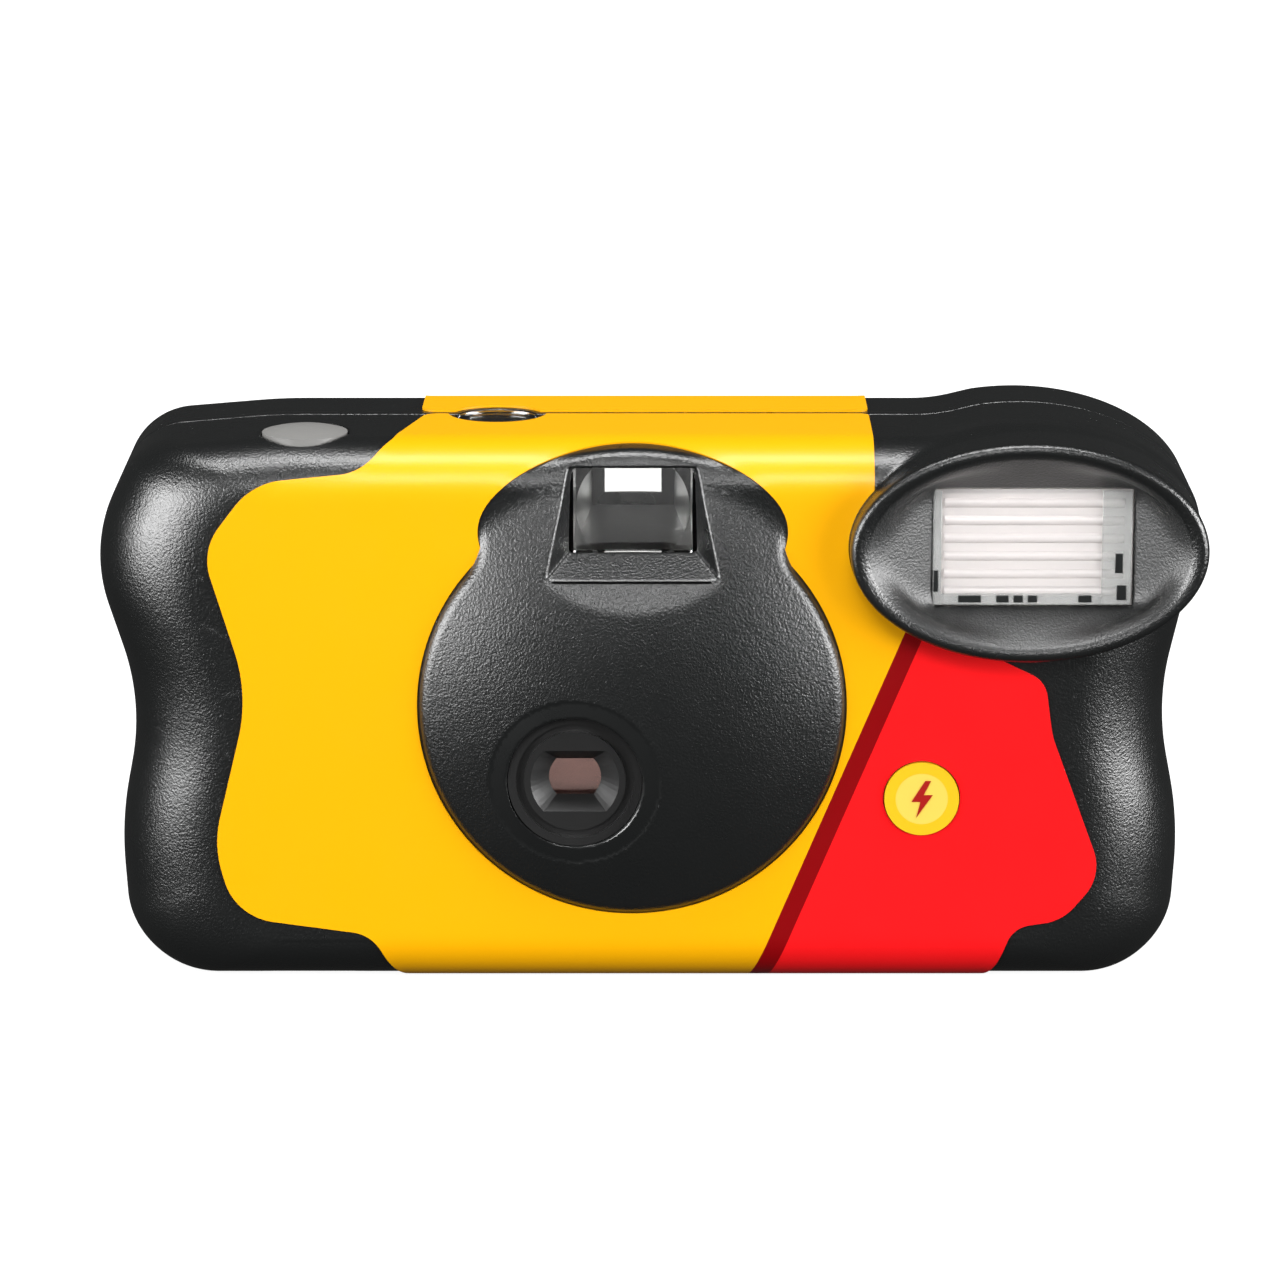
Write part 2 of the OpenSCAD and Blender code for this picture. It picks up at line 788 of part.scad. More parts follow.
module chassis() {
    color("#303034")
        difference() {
            union() {
                light_box();
                lens_board();
                gate_plate();
                deck();
                finder_tunnel();
                film_chamber(cartridge_x, cartridge_y, cartridge_r + free_gap, cartridge_z + 2.4, deck_z, 1);
                film_chamber(supply_x, supply_y, roll_r + free_gap, supply_floor_z, supply_wall_z, 3);
                supply_bearings();
                battery_ends();
                lever_posts();
                sprocket_bracket();
                board_posts();
                upright(dial_x, dial_y, dial_pin_r, deck_z, dial_z + dial_t + 0.4);
                upright(dial_x, dial_y, dial_pin_r + 0.3, deck_z, dial_z - run_gap);
            }
            hull() {
                front_prism(board_y - cut, board_y)
                    gate_shape(light_mouth_w, light_mouth_h);
                front_prism(gate_y, gate_y + 0.02)
                    gate_shape(gate_w, gate_h);
            }
            battery_bay();
            upright(cartridge_x, cartridge_y, hub_r + run_gap, deck_z - cut, deck_z + deck_t + cut);
            upright(sprocket_x, sprocket_y, sprocket_pin_r + run_gap, film_z, wheel_z);
            upright(sprocket_x, sprocket_y, sprocket_r + free_gap, sprocket_z - free_gap, sprocket_z + sprocket_t + free_gap);
            upright(supply_x, supply_y, journal_r + run_gap, supply_floor_z - cut, deck_z);
            front_bore(lever_x, lever_z, lever_pin_r + run_gap, lever_y - 4, lever_y + 4);
        }
}

module upright(x, y, r, from_z, to_z) {
    translate([x, y, from_z])
        cylinder(r = r, h = to_z - from_z);
}

module gate_shape(w, h) {
    translate([lens_x, film_z + film_h / 2])
        square([w, h], center = true);
}

// Dark tapering box between the aperture and the film
module light_box() {
    hull() {
        front_prism(board_y, board_y + 0.1)
            gate_shape(light_mouth_w + 2 * rib_t, light_mouth_h + 2 * rib_t);
        front_prism(gate_y - 0.1, gate_y)
            gate_shape(gate_w + 1.6, gate_h + 2 * rib_t);
    }
}

// Board behind the lens, with the aperture and the pivots of the shutter
module lens_board() {
    difference() {
        box([lens_x - 13, board_y - board_plate_t, lens_z - 6], [striker_x + 8, board_y, deck_z + 0.1]);
        front_bore(lens_x, lens_z, aperture_r, board_y - 2 * board_plate_t, board_y + cut);
    }
    front_bore(blade_x, blade_z, blade_pin_r, blade_y - 1.4, board_y);
    front_bore(striker_x, striker_z, striker_pin_r, striker_y - 0.3, board_y);
    front_bore(striker_x, striker_z, striker_pin_r + 0.8, striker_y + striker_t + run_gap, board_y);
    front_bore(striker_x + 4, striker_z - 4, 0.7, striker_y + striker_t + 0.2, board_y);
}

// Plate with the picture opening that the film runs across
module gate_plate() {
    box([lens_x - gate_w / 2 - 1, gate_y - rib_t, film_z - 1.5], [supply_web_x, gate_y, deck_z + 0.1]);
    box([supply_web_x - rib_t, supply_y - 1, film_z - 1.5], [supply_web_x, gate_y, supply_wall_z]);
}

// Floor over the cartridge and the light box, tied to the lens board by a rib
module deck() {
    box([lens_x - 13, board_y - 0.5, deck_z - 2], [striker_x + 8, board_y + 1.5, deck_z + 0.1]);
    box([cartridge_x - cartridge_r - 1.6, finder_lens_y + finder_lens_t, deck_z], [deck_right_x, gate_y, deck_z + deck_t]);
}

module finder_tunnel() {
    top_z = finder_z + finder_h / 2 + 0.1;
    difference() {
        box([finder_x - finder_w / 2 - rib_t, finder_lens_y + finder_lens_t, deck_z],
            [finder_x + finder_w / 2 + rib_t, in_back_y - 3, top_z + 0.5]);
        box([finder_x - finder_w / 2, finder_lens_y, deck_z + deck_t],
            [finder_x + finder_w / 2, in_back_y, top_z]);
    }
}

// Half-round wall in front of a film chamber
module film_chamber(x, y, r, from_z, to_z, past) {
    translate([0, 0, from_z])
        intersection() {
            difference() {
                upright(x, y, r + rib_t, 0, to_z - from_z);
                upright(x, y, r, -cut, to_z - from_z + cut);
            }
            box([x - 2 * r, max(y - 2 * r, in_front_y + 0.25), 0], [x + 2 * r, y + past, to_z - from_z]);
        }
}

// Floor and roof of the supply chamber, with the two bearings of the spool
module supply_bearings() {
    r = roll_r + free_gap + rib_t;
    intersection() {
        union() {
            upright(supply_x, supply_y, r, supply_floor_z, supply_floor_z + rib_t);
            upright(supply_x, supply_y, r, supply_roof_z, supply_roof_z + rib_t);
        }
        box([supply_x - 2 * r, reflector_back_y + 0.5, 0], [supply_x + 2 * r, gate_y, body_h]);
    }
    box([supply_web_x - rib_t, reflector_back_y + 0.5, supply_roof_z], [supply_x, gate_y, supply_roof_z + rib_t]);
    box([supply_web_x - rib_t, gate_y - rib_t, film_z], [supply_web_x, gate_y, supply_roof_z + rib_t]);
    box([supply_web_x - rib_t, supply_y, supply_floor_z], [supply_web_x, gate_y, film_z]);
}

// Walls behind the two battery contacts, tied to the cartridge chamber and the gate plate
module battery_ends() {
    low_z = battery_z - 4.5;
    high_z = battery_z + 4.5;
    left_x = battery_x - contact_room;
    right_x = battery_x + battery_l + contact_room;
    chamber_r = cartridge_r + free_gap + rib_t / 2;
    chamber_y = cartridge_y - sqrt(pow(chamber_r, 2) - pow(left_x - rib_t / 2 - cartridge_x, 2));
    box([left_x - rib_t, battery_y - 4.5, low_z], [left_x, chamber_y, high_z]);
    box([right_x, battery_y - 4.5, low_z], [right_x + rib_t, gate_y, high_z]);
}

module battery_bay() {
    translate([battery_x - contact_room, battery_y, battery_z])
        rotate([0, 90, 0])
            cylinder(r = battery_r + 0.2, h = battery_l + 2 * contact_room);
}

module lever_posts() {
    for (y = [lever_y - lever_w / 2 - 0.3 - rib_t, lever_y + lever_w / 2 + 0.3])
        box([lever_x - 1.6, y, deck_z], [lever_x + 1.6, y + rib_t, lever_z + 1.6]);
}

module sprocket_bracket() {
    box([sprocket_x - 3.2, sprocket_y - 3.2, sprocket_z + sprocket_t + 1.5],
        [sprocket_x + 3.2, gate_y, sprocket_z + sprocket_t + 1.5 + rib_t]);
}

// Pegs on the supply chamber that carry the flash board
module board_posts() {
    for (z = [board_low_z + 4, board_low_z + 17])
        box([supply_x - 6.5, board_y2, z], [supply_x - 3.5, supply_y - roll_r + 0.3, z + 2]);
}

// Shutter and release

// A round wire of radius r along points that run across the Y axis, with its ends closed
module wire(points, r) {
    sides = 6;
    last = len(points) - 1;
    rings = [for (i = [0:last])
        let (way = unit(points[min(i + 1, last)] - points[max(i - 1, 0)]))
        let (out = unit(cross(way, [0, 1, 0])), up = cross(out, way))
        [for (k = [0:sides - 1]) points[i] + r * (cos(360 * k / sides) * out + sin(360 * k / sides) * up)]];
    polyhedron(concat([for (ring = rings) each ring], [points[0], points[last]]),
        concat(cap(0, sides, sides * (last + 1), 1),
            cap(last, sides, sides * (last + 1) + 1, -1),
            [for (i = [0:last - 1], f = band(i, sides)) [f[2], f[1], f[0]]]), 2);
}

// Torsion spring round a pivot along Y, with a straight leg at each end
module torsion_spring(x, z, y, coil_r, wire_r, turns, pitch, start, leg) {
    steps = 12 * turns;
    coil = [for (i = [0:steps])
        let (a = start + 30 * i)
        [x + coil_r * cos(a), y + pitch * i / 12, z + coil_r * sin(a)]];
    lead = coil[0] + leg * [sin(start), 0, -cos(start)];
    tail_a = start + 30 * steps;
    tail = coil[steps] + leg * [-sin(tail_a), 0, cos(tail_a)];
    wire(concat([lead], coil, [tail]), wire_r);
}

// Thin steel blade that hides the aperture until the striker knocks it aside
module shutter_blade() {
    color("dimgray")
        front_prism(blade_y, blade_y + blade_t)
            difference() {
                union() {
                    translate([lens_x, lens_z])
                        circle(r = blade_disc_r);
                    translate([blade_x, blade_z])
                        circle(r = blade_hub_r);
                    polygon([[blade_x - 1.4, blade_z - 1.2], [lens_x - 1.8, lens_z - 1],
                        [lens_x + 1.8, lens_z + 1.6], [blade_x + 1.4, blade_z + 1.2]]);
                    polygon([[blade_x, blade_z - 1.5], [blade_x + 4.2, blade_z + 1.8],
                        [blade_x + 4, blade_z + 3.4], [blade_x - 0.8, blade_z + 1.6]]);
                }
                translate([blade_x, blade_z])
                    circle(r = blade_pin_r + run_gap);
            }
}

module blade_spring() {
    color("silver")
        torsion_spring(blade_x, blade_z, blade_y - 1.05, blade_pin_r + 0.5, 0.15, 2, 0.35, 200, 4);
}

// Sprung lever that stores the pull of the thumbwheel and strikes the blade
module high_energy_lever() {
    color("#d8d4c8") {
        front_prism(striker_y, striker_y + striker_t)
            difference() {
                union() {
                    translate([striker_x, striker_z])
                        circle(r = striker_hub_r);
                    polygon([[striker_x, striker_z + striker_hub_r], [striker_x - 13.5, striker_z + 4.2],
                        [striker_x - 14.5, striker_z + 1.8], [striker_x, striker_z - 1.6]]);
                    polygon([[striker_x - 1, striker_z - 2], [striker_x + 5, striker_z + 1.2],
                        [striker_x + 4.2, striker_z + 3.2], [striker_x - 1, striker_z + 2]]);
                }
                translate([striker_x, striker_z])
                    circle(r = striker_pin_r + run_gap);
            }
        box([striker_x - 13.6, striker_y + striker_t - 0.1, striker_z + 2.2],
            [striker_x - 12.2, blade_y - 0.35, striker_z + 3.4]);
    }
}

module lever_spring() {
    color("silver")
        torsion_spring(striker_x, striker_z, board_y - board_plate_t - 1.15, striker_pin_r + 1.35, 0.2, 2, 0.45, 100, 4);
}

// Rocking lever under the shutter button
module metering_lever() {
    color("#3a3a3e") {
        box([shutter_x - 1.8, lever_y - lever_w / 2, lever_z - lever_t / 2],
            [lever_x + 9, lever_y + lever_w / 2, lever_z + lever_t / 2]);
        front_bore(lever_x, lever_z, lever_pin_r, lever_y - lever_w / 2 - 1.3, lever_y + lever_w / 2 + 1.3);
    }
}

// Frosted button with a retaining flange under the cover and a plunger for the lever
module shutter_button() {
    color("gainsboro")
        union() {
            intersection() {
                upright(shutter_x, shutter_y, shutter_r, button_flange_z, button_top_z);
                translate([shutter_x, shutter_y, button_top_z - button_dome_r])
                    sphere(r = button_dome_r);
            }
            intersection() {
                upright(shutter_x, shutter_y, shutter_r + 0.9, button_flange_z, in_top_z - 0.4);
                box([shutter_x - 2 * shutter_r, shutter_y - 2.5, button_flange_z],
                    [shutter_x + 2 * shutter_r, shutter_y + 2.5, in_top_z]);
            }
            upright(shutter_x, lever_y + 0.8, 1.5, lever_z + lever_t / 2 + 0.25, button_flange_z + 0.1);
        }
}

module flash_button() {
    color("#f0c040")
        union() {
            front_bore(charge_x, charge_z, charge_r, front_y - charge_proud, charge_flange_y + 0.1);
            front_bore(charge_x, charge_z, charge_r + 0.8, charge_flange_y, charge_flange_y + 0.8);
        }
}

// Film transport and counter

// Toothed rim in plan: count teeth between the radii root and tip
function rim_points(count, root, tip, share) =
    [for (i = [0:count - 1], k = [-1.5, -share, share, 1.5])
        let (a = 360 * (i + k / 4) / count, r = abs(k) > 1 ? root : tip)
        if (k != 1.5) [r * cos(a), r * sin(a)]];

module thumbwheel() {
    color("#222224") {
        difference() {
            union() {
                translate([cartridge_x, cartridge_y, wheel_z])
                    linear_extrude(wheel_t)
                        polygon(rim_points(wheel_teeth, wheel_r - 0.6, wheel_r, 0.7));
                upright(cartridge_x, cartridge_y, hub_r, deck_z, wheel_z + 0.1);
            }
            upright(cartridge_x, cartridge_y, spool_hub_r + 0.1, deck_z - cut, wheel_z + 0.6);
            translate([0, 0, 0.8])
                difference() {
                    upright(cartridge_x, cartridge_y, wheel_r - 2.4, wheel_z + 1.6, wheel_z + wheel_t);
                    upright(cartridge_x, cartridge_y, hub_r, wheel_z, wheel_z + wheel_t + cut);
                }
        }
        translate([cartridge_x, cartridge_y, deck_z])
            translate([-spool_hub_r - 0.3, -0.7, 0])
                cube([2 * spool_hub_r + 0.6, 1.4, wheel_z - deck_z + 0.7]);
    }
}

// Core of the cartridge, keyed into the thumbwheel
module cartridge_spool() {
    color("#1a1a1a")
        difference() {
            union() {
                upright(cartridge_x, cartridge_y, spool_hub_r, cartridge_z, wheel_z + 0.5);
                upright(cartridge_x, cartridge_y, spool_hub_r + 0.8, film_z - 0.5, film_z + film_h + 0.5);
            }
            translate([cartridge_x - spool_hub_r - cut, cartridge_y - 0.8, deck_z - 0.1])
                cube([2 * (spool_hub_r + cut), 1.6, wheel_z - deck_z + cut]);
            upright(cartridge_x, cartridge_y, spool_hub_r - 1.6, cartridge_z - cut, cartridge_z + 6);
        }
}

// Thin metal shell with the lipped slot that the film runs out of
module cartridge_shell() {
    r = cartridge_r - 0.2;
    color("#c8c8cc")
        difference() {
            union() {
                upright(cartridge_x, cartridge_y, r, cartridge_z + cap_t, cartridge_z + cartridge_h - cap_t);
                box([cartridge_x + 2, film_y - 1, cartridge_z + cap_t],
                    [lip_x, film_y + film_t + 1, cartridge_z + cartridge_h - cap_t]);
            }
            upright(cartridge_x, cartridge_y, r - shell_t, cartridge_z, cartridge_z + cartridge_h);
            box([cartridge_x, film_y - 0.15, film_z - 0.3], [lip_x + cut, film_y + film_t + 0.15, film_z + film_h + 0.3]);
        }
}

module cartridge_caps() {
    color("#2c2c2e")
        for (z = [cartridge_z, cartridge_z + cartridge_h - cap_t])
            difference() {
                upright(cartridge_x, cartridge_y, cartridge_r, z, z + cap_t);
                upright(cartridge_x, cartridge_y, spool_hub_r + run_gap, z - cut, z + cap_t + cut);
            }
}

module film_strip() {
    color("#5a3a2a")
        box([lip_x - 3, film_y, film_z], [supply_x, film_y + film_t, film_z + film_h]);
}

module film_roll() {
    color("#4a3024")
        difference() {
            upright(supply_x, supply_y, roll_r, film_z, film_z + film_h);
            upright(supply_x, supply_y, supply_core_r, film_z - cut, film_z + film_h + cut);
        }
}

module supply_spool() {
    color("#202022") {
        upright(supply_x, supply_y, supply_core_r, film_z - 0.6, film_z + film_h + 0.5);
        upright(supply_x, supply_y, journal_r, supply_floor_z, supply_roof_z + rib_t);
    }
}

// Eight-tooth wheel that counts the film past the gate
module sprocket() {
    color("#e4e0d4") {
        translate([sprocket_x, sprocket_y, sprocket_z])
            linear_extrude(sprocket_t)
                polygon(rim_points(8, sprocket_r - 1.2, sprocket_r, 0.35));
        upright(sprocket_x, sprocket_y, sprocket_pin_r, sprocket_z, dial_z - 1.2);
        upright(sprocket_x, sprocket_y, 2.4, dial_z - 1.6, dial_z - 0.6);
    }
}

// Numbered dial under the window in the top
module counter_dial() {
    color("#f2f2ee")
        difference() {
            translate([dial_x, dial_y, dial_z])
                linear_extrude(dial_t)
                    polygon(rim_points(dial_teeth, dial_r - 0.5, dial_r, 0.5));
            upright(dial_x, dial_y, dial_pin_r + run_gap, dial_z - cut, dial_z + dial_t + cut);
        }
}

module counter_window() {
    color("azure")
        difference() {
            union() {
                counter_lens(0.1, in_top_z - 0.6, body_h - 0.1);
                counter_lens(-0.7, in_top_z - 0.8, in_top_z - 0.1);
            }
            counter_lens(1, in_top_z - cut, in_top_z + 0.4);
        }
}

// Round door in the base that the laboratory snaps out to take the cartridge
module film_door() {
    color(black)
        difference() {
            intersection() {
                upright(cartridge_x, cartridge_y, door_r, -cut, door_top_z);
                difference() {
                    loft(body_rings(0, front_steps, back_steps));
                    loft(body_rings(wall, inner_steps, inner_steps));
                    cartridge_relief();
                }
            }
            translate([cartridge_x + door_r / 2, cartridge_y, 0])
                cube([pry_w, pry_l, 2 * pry_d], center = true);
        }
}

// Flash

// Clear cover with ribs across it that spread the light
module flash_window() {
    color("aliceblue") {
        front_prism(window_y + 0.1, window_y + bowl_t + 0.1)
            window_shape(-0.1);
        front_prism(window_y + bowl_t + 0.05, reflector_front_y)
            window_shape(0.9);
        for (i = [0:window_ribs - 1])
            translate([window_x - window_w / 2 + 1, window_y + 0.3, window_z + (i - (window_ribs - 1) / 2) * rib_pitch])
                rotate([0, 90, 0])
                    cylinder(r = 0.55, h = window_w - 2, $fn = 24);
    }
}

module window_shape(grow) {
    translate([window_x, window_z])
        square([window_w + 2 * grow, window_h + 2 * grow], center = true);
}

// Bright trough: a half-oval section closed by flat ends
module flash_reflector() {
    depth = reflector_back_y - reflector_front_y;
    half = window_h / 2 - 0.4;
    color("whitesmoke")
        translate([window_x, reflector_front_y, window_z])
            difference() {
                trough(window_w - 0.8, half, depth);
                translate([0, -cut, 0])
                    trough(window_w - 0.8 - 2 * sheet_t, half - sheet_t, depth + cut - sheet_t);
                translate([-window_w, tube_y - reflector_front_y, 0])
                    rotate([0, 90, 0])
                        cylinder(r = tube_r + 0.1, h = 2 * window_w);
            }
}

module trough(w, half, depth) {
    section = ellipse_points(depth, half, -90, 90, 20);
    rotate([0, 0, 90])
        rotate([90, 0, 0])
            translate([0, 0, -w / 2])
                linear_extrude(w)
                    polygon(section);
}

module flash_tube() {
    color("lavender")
        translate([window_x, tube_y, window_z])
            rotate([0, 90, 0]) {
                cylinder(r = tube_r, h = window_w, center = true);
                cylinder(r = 0.5, h = window_w + 6, center = true);
            }
}

module flash_board() {
    color("#3f6b4a")
        box([board_left_x, board_y1, board_low_z], [board_right_x, board_y2, board_high_z]);
}

module main_capacitor() {
    top_z = capacitor_z + capacitor_h;
    color("#26282c") {
        upright(capacitor_x, capacitor_y, capacitor_r, capacitor_z, top_z);
        for (side = [-1, 1])
            translate([capacitor_x, capacitor_y, 0])
                translate([0, side * 1.3, top_z - 0.1])
                    cylinder(r = 0.3, h = 1.2);
    }
}

module transformer() {
    x = board_left_x + 6;
    z = board_high_z - 11;
    color("#b08a3c") {
        box([x, board_y1 - 3.2, z], [x + 8.5, board_y1, z + 8.5]);
        box([x + 1.2, board_y1 - 3.6, z + 1.2], [x + 7.3, board_y1 - 3.1, z + 7.3]);
    }
}

module trigger_coil() {
    color("#8c5a2c")
        translate([board_left_x + 17, board_y1 - 1.7, board_high_z - 3])
            rotate([0, 90, 0]) {
                cylinder(r = 1.7, h = 7);
                translate([0, 0, -0.5])
                    cylinder(r = 1, h = 8);
            }
}

// Resistors, diode and transistor on the flash board
module board_components() {
    color("#c9b48a")
        for (i = [0:2])
            translate([board_left_x + 17, board_y1 - 1, board_high_z - 7 - 2.6 * i])
                rotate([0, 90, 0])
                    cylinder(r = 1, h = 4.5);
    color("#202020") {
        box([board_right_x - 8, board_y1 - 1.8, board_high_z - 12], [board_right_x - 3.5, board_y1, board_high_z - 7.5]);
        box([board_right_x - 7, board_y1 - 1.4, board_high_z - 6], [board_right_x - 2, board_y1, board_high_z - 4]);
    }
}

module battery() {
    color("#b87333")
        translate([battery_x, battery_y, battery_z])
            rotate([0, 90, 0]) {
                cylinder(r = battery_r, h = battery_l - 1.2);
                cylinder(r = 2.7, h = battery_l);
            }
}

module battery_contacts() {
    color("silver")
        for (x = [battery_x - contact_room, battery_x + battery_l])
            box([x, battery_y - 4, battery_z - 4], [x + contact_room, battery_y + 2, battery_z + 4]);
}

// Leaf on the board that the flash button presses
module charge_contact() {
    color("goldenrod") {
        box([charge_x - 3, board_y1 - 1.2, charge_z - 1.5], [charge_x + 7, board_y1 - 1, charge_z + 1.5]);
        box([charge_x + 5, board_y1 - 1.1, charge_z - 1.5], [charge_x + 7, board_y1, charge_z + 1.5]);
    }
}

// Leaf that the striker closes to fire the flash
module sync_contact() {
    color("goldenrod")
        box([board_left_x - 5, board_y1 - 0.3, board_low_z + 12], [board_left_x + 4, board_y1, board_low_z + 14]);
}

module ready_lamp() {
    color("orange") {
        front_bore(ready_x, finder_z, ready_r - 0.2, lamp_y, lamp_y + 4);
        for (side = [-1, 1])
            upright(ready_x + side * 0.8, lamp_y + 0.8, 0.25, board_high_z, finder_z);
        box([ready_x - 1.2, board_y1, board_high_z], [ready_x + 1.2, lamp_y + 1.6, board_high_z + 0.6]);
    }
}

module light_pipe() {
    color("mistyrose")
        front_bore(ready_x, finder_z, ready_r, lamp_y + 4, back_y - 0.1);
}

front_cover();
rear_cover();
front_label();
rear_label();
chassis();
lens_retainer();
taking_lens();
viewfinder_front_lens();
viewfinder_eyepiece();
shutter_blade();
blade_spring();
high_energy_lever();
lever_spring();
metering_lever();
shutter_button();
flash_button();
thumbwheel();
cartridge_spool();
cartridge_shell();
cartridge_caps();
film_strip();
film_roll();
supply_spool();
sprocket();
counter_dial();
counter_window();
film_door();
flash_window();
flash_reflector();
flash_tube();
flash_board();
main_capacitor();
transformer();
trigger_coil();
board_components();
battery();
battery_contacts();
charge_contact();
sync_contact();
ready_lamp();
light_pipe();
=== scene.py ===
"""Looks of a single-use film camera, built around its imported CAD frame. Lengths in the tables are in millimetres."""
import math

import bpy
import numpy as np
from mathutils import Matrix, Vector
from mathutils.geometry import delaunay_2d_cdt


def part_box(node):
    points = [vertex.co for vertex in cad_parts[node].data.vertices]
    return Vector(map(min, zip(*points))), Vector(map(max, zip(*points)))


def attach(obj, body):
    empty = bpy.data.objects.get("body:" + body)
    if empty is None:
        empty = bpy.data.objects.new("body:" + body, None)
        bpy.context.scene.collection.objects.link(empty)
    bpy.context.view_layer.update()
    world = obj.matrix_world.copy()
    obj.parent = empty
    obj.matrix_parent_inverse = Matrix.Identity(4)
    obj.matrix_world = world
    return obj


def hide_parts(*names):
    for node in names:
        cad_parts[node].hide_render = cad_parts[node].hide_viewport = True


MM = 0.001
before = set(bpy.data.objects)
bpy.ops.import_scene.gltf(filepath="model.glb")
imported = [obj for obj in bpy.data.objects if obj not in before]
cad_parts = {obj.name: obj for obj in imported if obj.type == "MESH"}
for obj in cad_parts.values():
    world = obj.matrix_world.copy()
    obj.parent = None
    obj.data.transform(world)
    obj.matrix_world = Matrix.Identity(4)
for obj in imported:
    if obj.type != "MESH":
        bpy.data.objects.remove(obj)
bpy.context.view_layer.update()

# Main sizes, as in the part's source
BODY_W, BODY_H, BODY_D, WALL = 117.0, 58.5, 31.0, 1.5
HALF_W, MID_Z = BODY_W / 2, BODY_H / 2
LABEL_T = 0.25
DOME_H, DOME_R, DISC_R = 4.5, 70.0, 22.5
DOME_X, DOME_Z = -1.9, 30.6
HEAD_X, HEAD_Z, HEAD_A, HEAD_B = -1.8, 49.4, 16.1, 8.6
FRONT_Y = (DOME_H - BODY_D - LABEL_T) / 2
BACK_Y = FRONT_Y + BODY_D
SEAM_Y = FRONT_Y + 17.5
IN_FRONT_Y = FRONT_Y + WALL
SIDE_ROLL, SIDE_ROLL_D, EDGE_ROLL, EDGE_ROLL_D, BACK_ROLL = 11.5, 10.5, 5.0, 6.0, 5.0
LENS_X, LENS_Z, LENS_HOLE_R = -7.9, 23.2, 7.1
FLASH_X, FLASH_Z, FLASH_A, FLASH_B, FLASH_OUT = 39.5, 47.9, 18.65, 11.65, 4.0
END_A, END_B = 19, 12
FOOT_IN, SWELL_IN, SWELL_Z, WAIST_IN, WAIST_Z = 2.6, 1.6, 15.5, 4.2, 28.8


# Distance fields: each function takes arrays of points in millimetres and gives the distance to a surface,
# below zero inside
def round_union(a, b, r):
    h = np.maximum(r - np.abs(a - b), 0)
    return np.minimum(a, b) - h * h / (4 * r)


def round_cut(a, b, r):
    """The overlap of a and b, with its edge rounded."""
    return -round_union(-a, -b, r)


def without(a, b, r):
    return round_cut(a, -b, r)


def oval(x, z, a, b):
    k0 = np.sqrt((x / a) ** 2 + (z / b) ** 2) + 1e-6
    k1 = np.sqrt((x / (a * a)) ** 2 + (z / (b * b)) ** 2) + 1e-6
    return k0 * (k0 - 1) / k1


def block(x, y, z, low, high):
    d = np.maximum(low[0] - x, x - high[0])
    d = np.maximum(d, np.maximum(low[1] - y, y - high[1]))
    return np.maximum(d, np.maximum(low[2] - z, z - high[2]))


def rect(x, z, cx, cz, w, h):
    return np.maximum(np.abs(x - cx) - w / 2, np.abs(z - cz) - h / 2)


# Outline of the body in the front view
def corner_arc(a, b, c, step=2.0):
    """Points that round the corner b, given as x, z and radius, between its neighbours a and c."""
    a, p, c, r = np.array(a[:2]), np.array(b[:2]), np.array(c[:2]), b[2]
    if r == 0:
        return [p]
    u, v = a - p, c - p
    lu, lv = np.hypot(*u), np.hypot(*v)
    u, v = u / lu, v / lv
    turn = math.pi - math.acos(np.clip(u @ v, -1, 1))
    r = min(r, 0.49 * min(lu, lv) / math.tan(turn / 2))
    n = max(1, math.ceil(math.degrees(turn) / step))
    w = u + v
    centre = p + w / np.hypot(*w) * r / math.cos(turn / 2)
    start = p + u * r * math.tan(turn / 2) - centre
    way = np.sign(u[1] * v[0] - u[0] * v[1])
    pts = []
    for i in range(n + 1):
        cos_t, sin_t = math.cos(way * turn * i / n), math.sin(way * turn * i / n)
        pts.append(centre + np.array([start[0] * cos_t - start[1] * sin_t, start[0] * sin_t + start[1] * cos_t]))
    return pts


def rounded(corners):
    n = len(corners)
    return np.array([p for i in range(n) for p in corner_arc(corners[i - 1], corners[i], corners[(i + 1) % n])])


def grip(side):
    return [(side * (HALF_W - FOOT_IN), 0, 10.5), (side * (HALF_W - SWELL_IN), SWELL_Z, 36),
            (side * (HALF_W - WAIST_IN), WAIST_Z, 28)]


def body_outline():
    turns = [math.radians(t) for t in np.linspace(-8, 104, 60)]
    end = [(FLASH_X + END_A * math.cos(t), FLASH_Z + END_B * math.sin(t), 0) for t in turns]
    top = [(FLASH_X - 8.9, BODY_H, 18), (-HALF_W + 18.5, BODY_H, 60),
           (-HALF_W + 4.2, BODY_H - 1.2, 7.5), (-HALF_W - 1.17, 45.6, 19)]
    return rounded(grip(1) + end + top + grip(-1)[::-1])


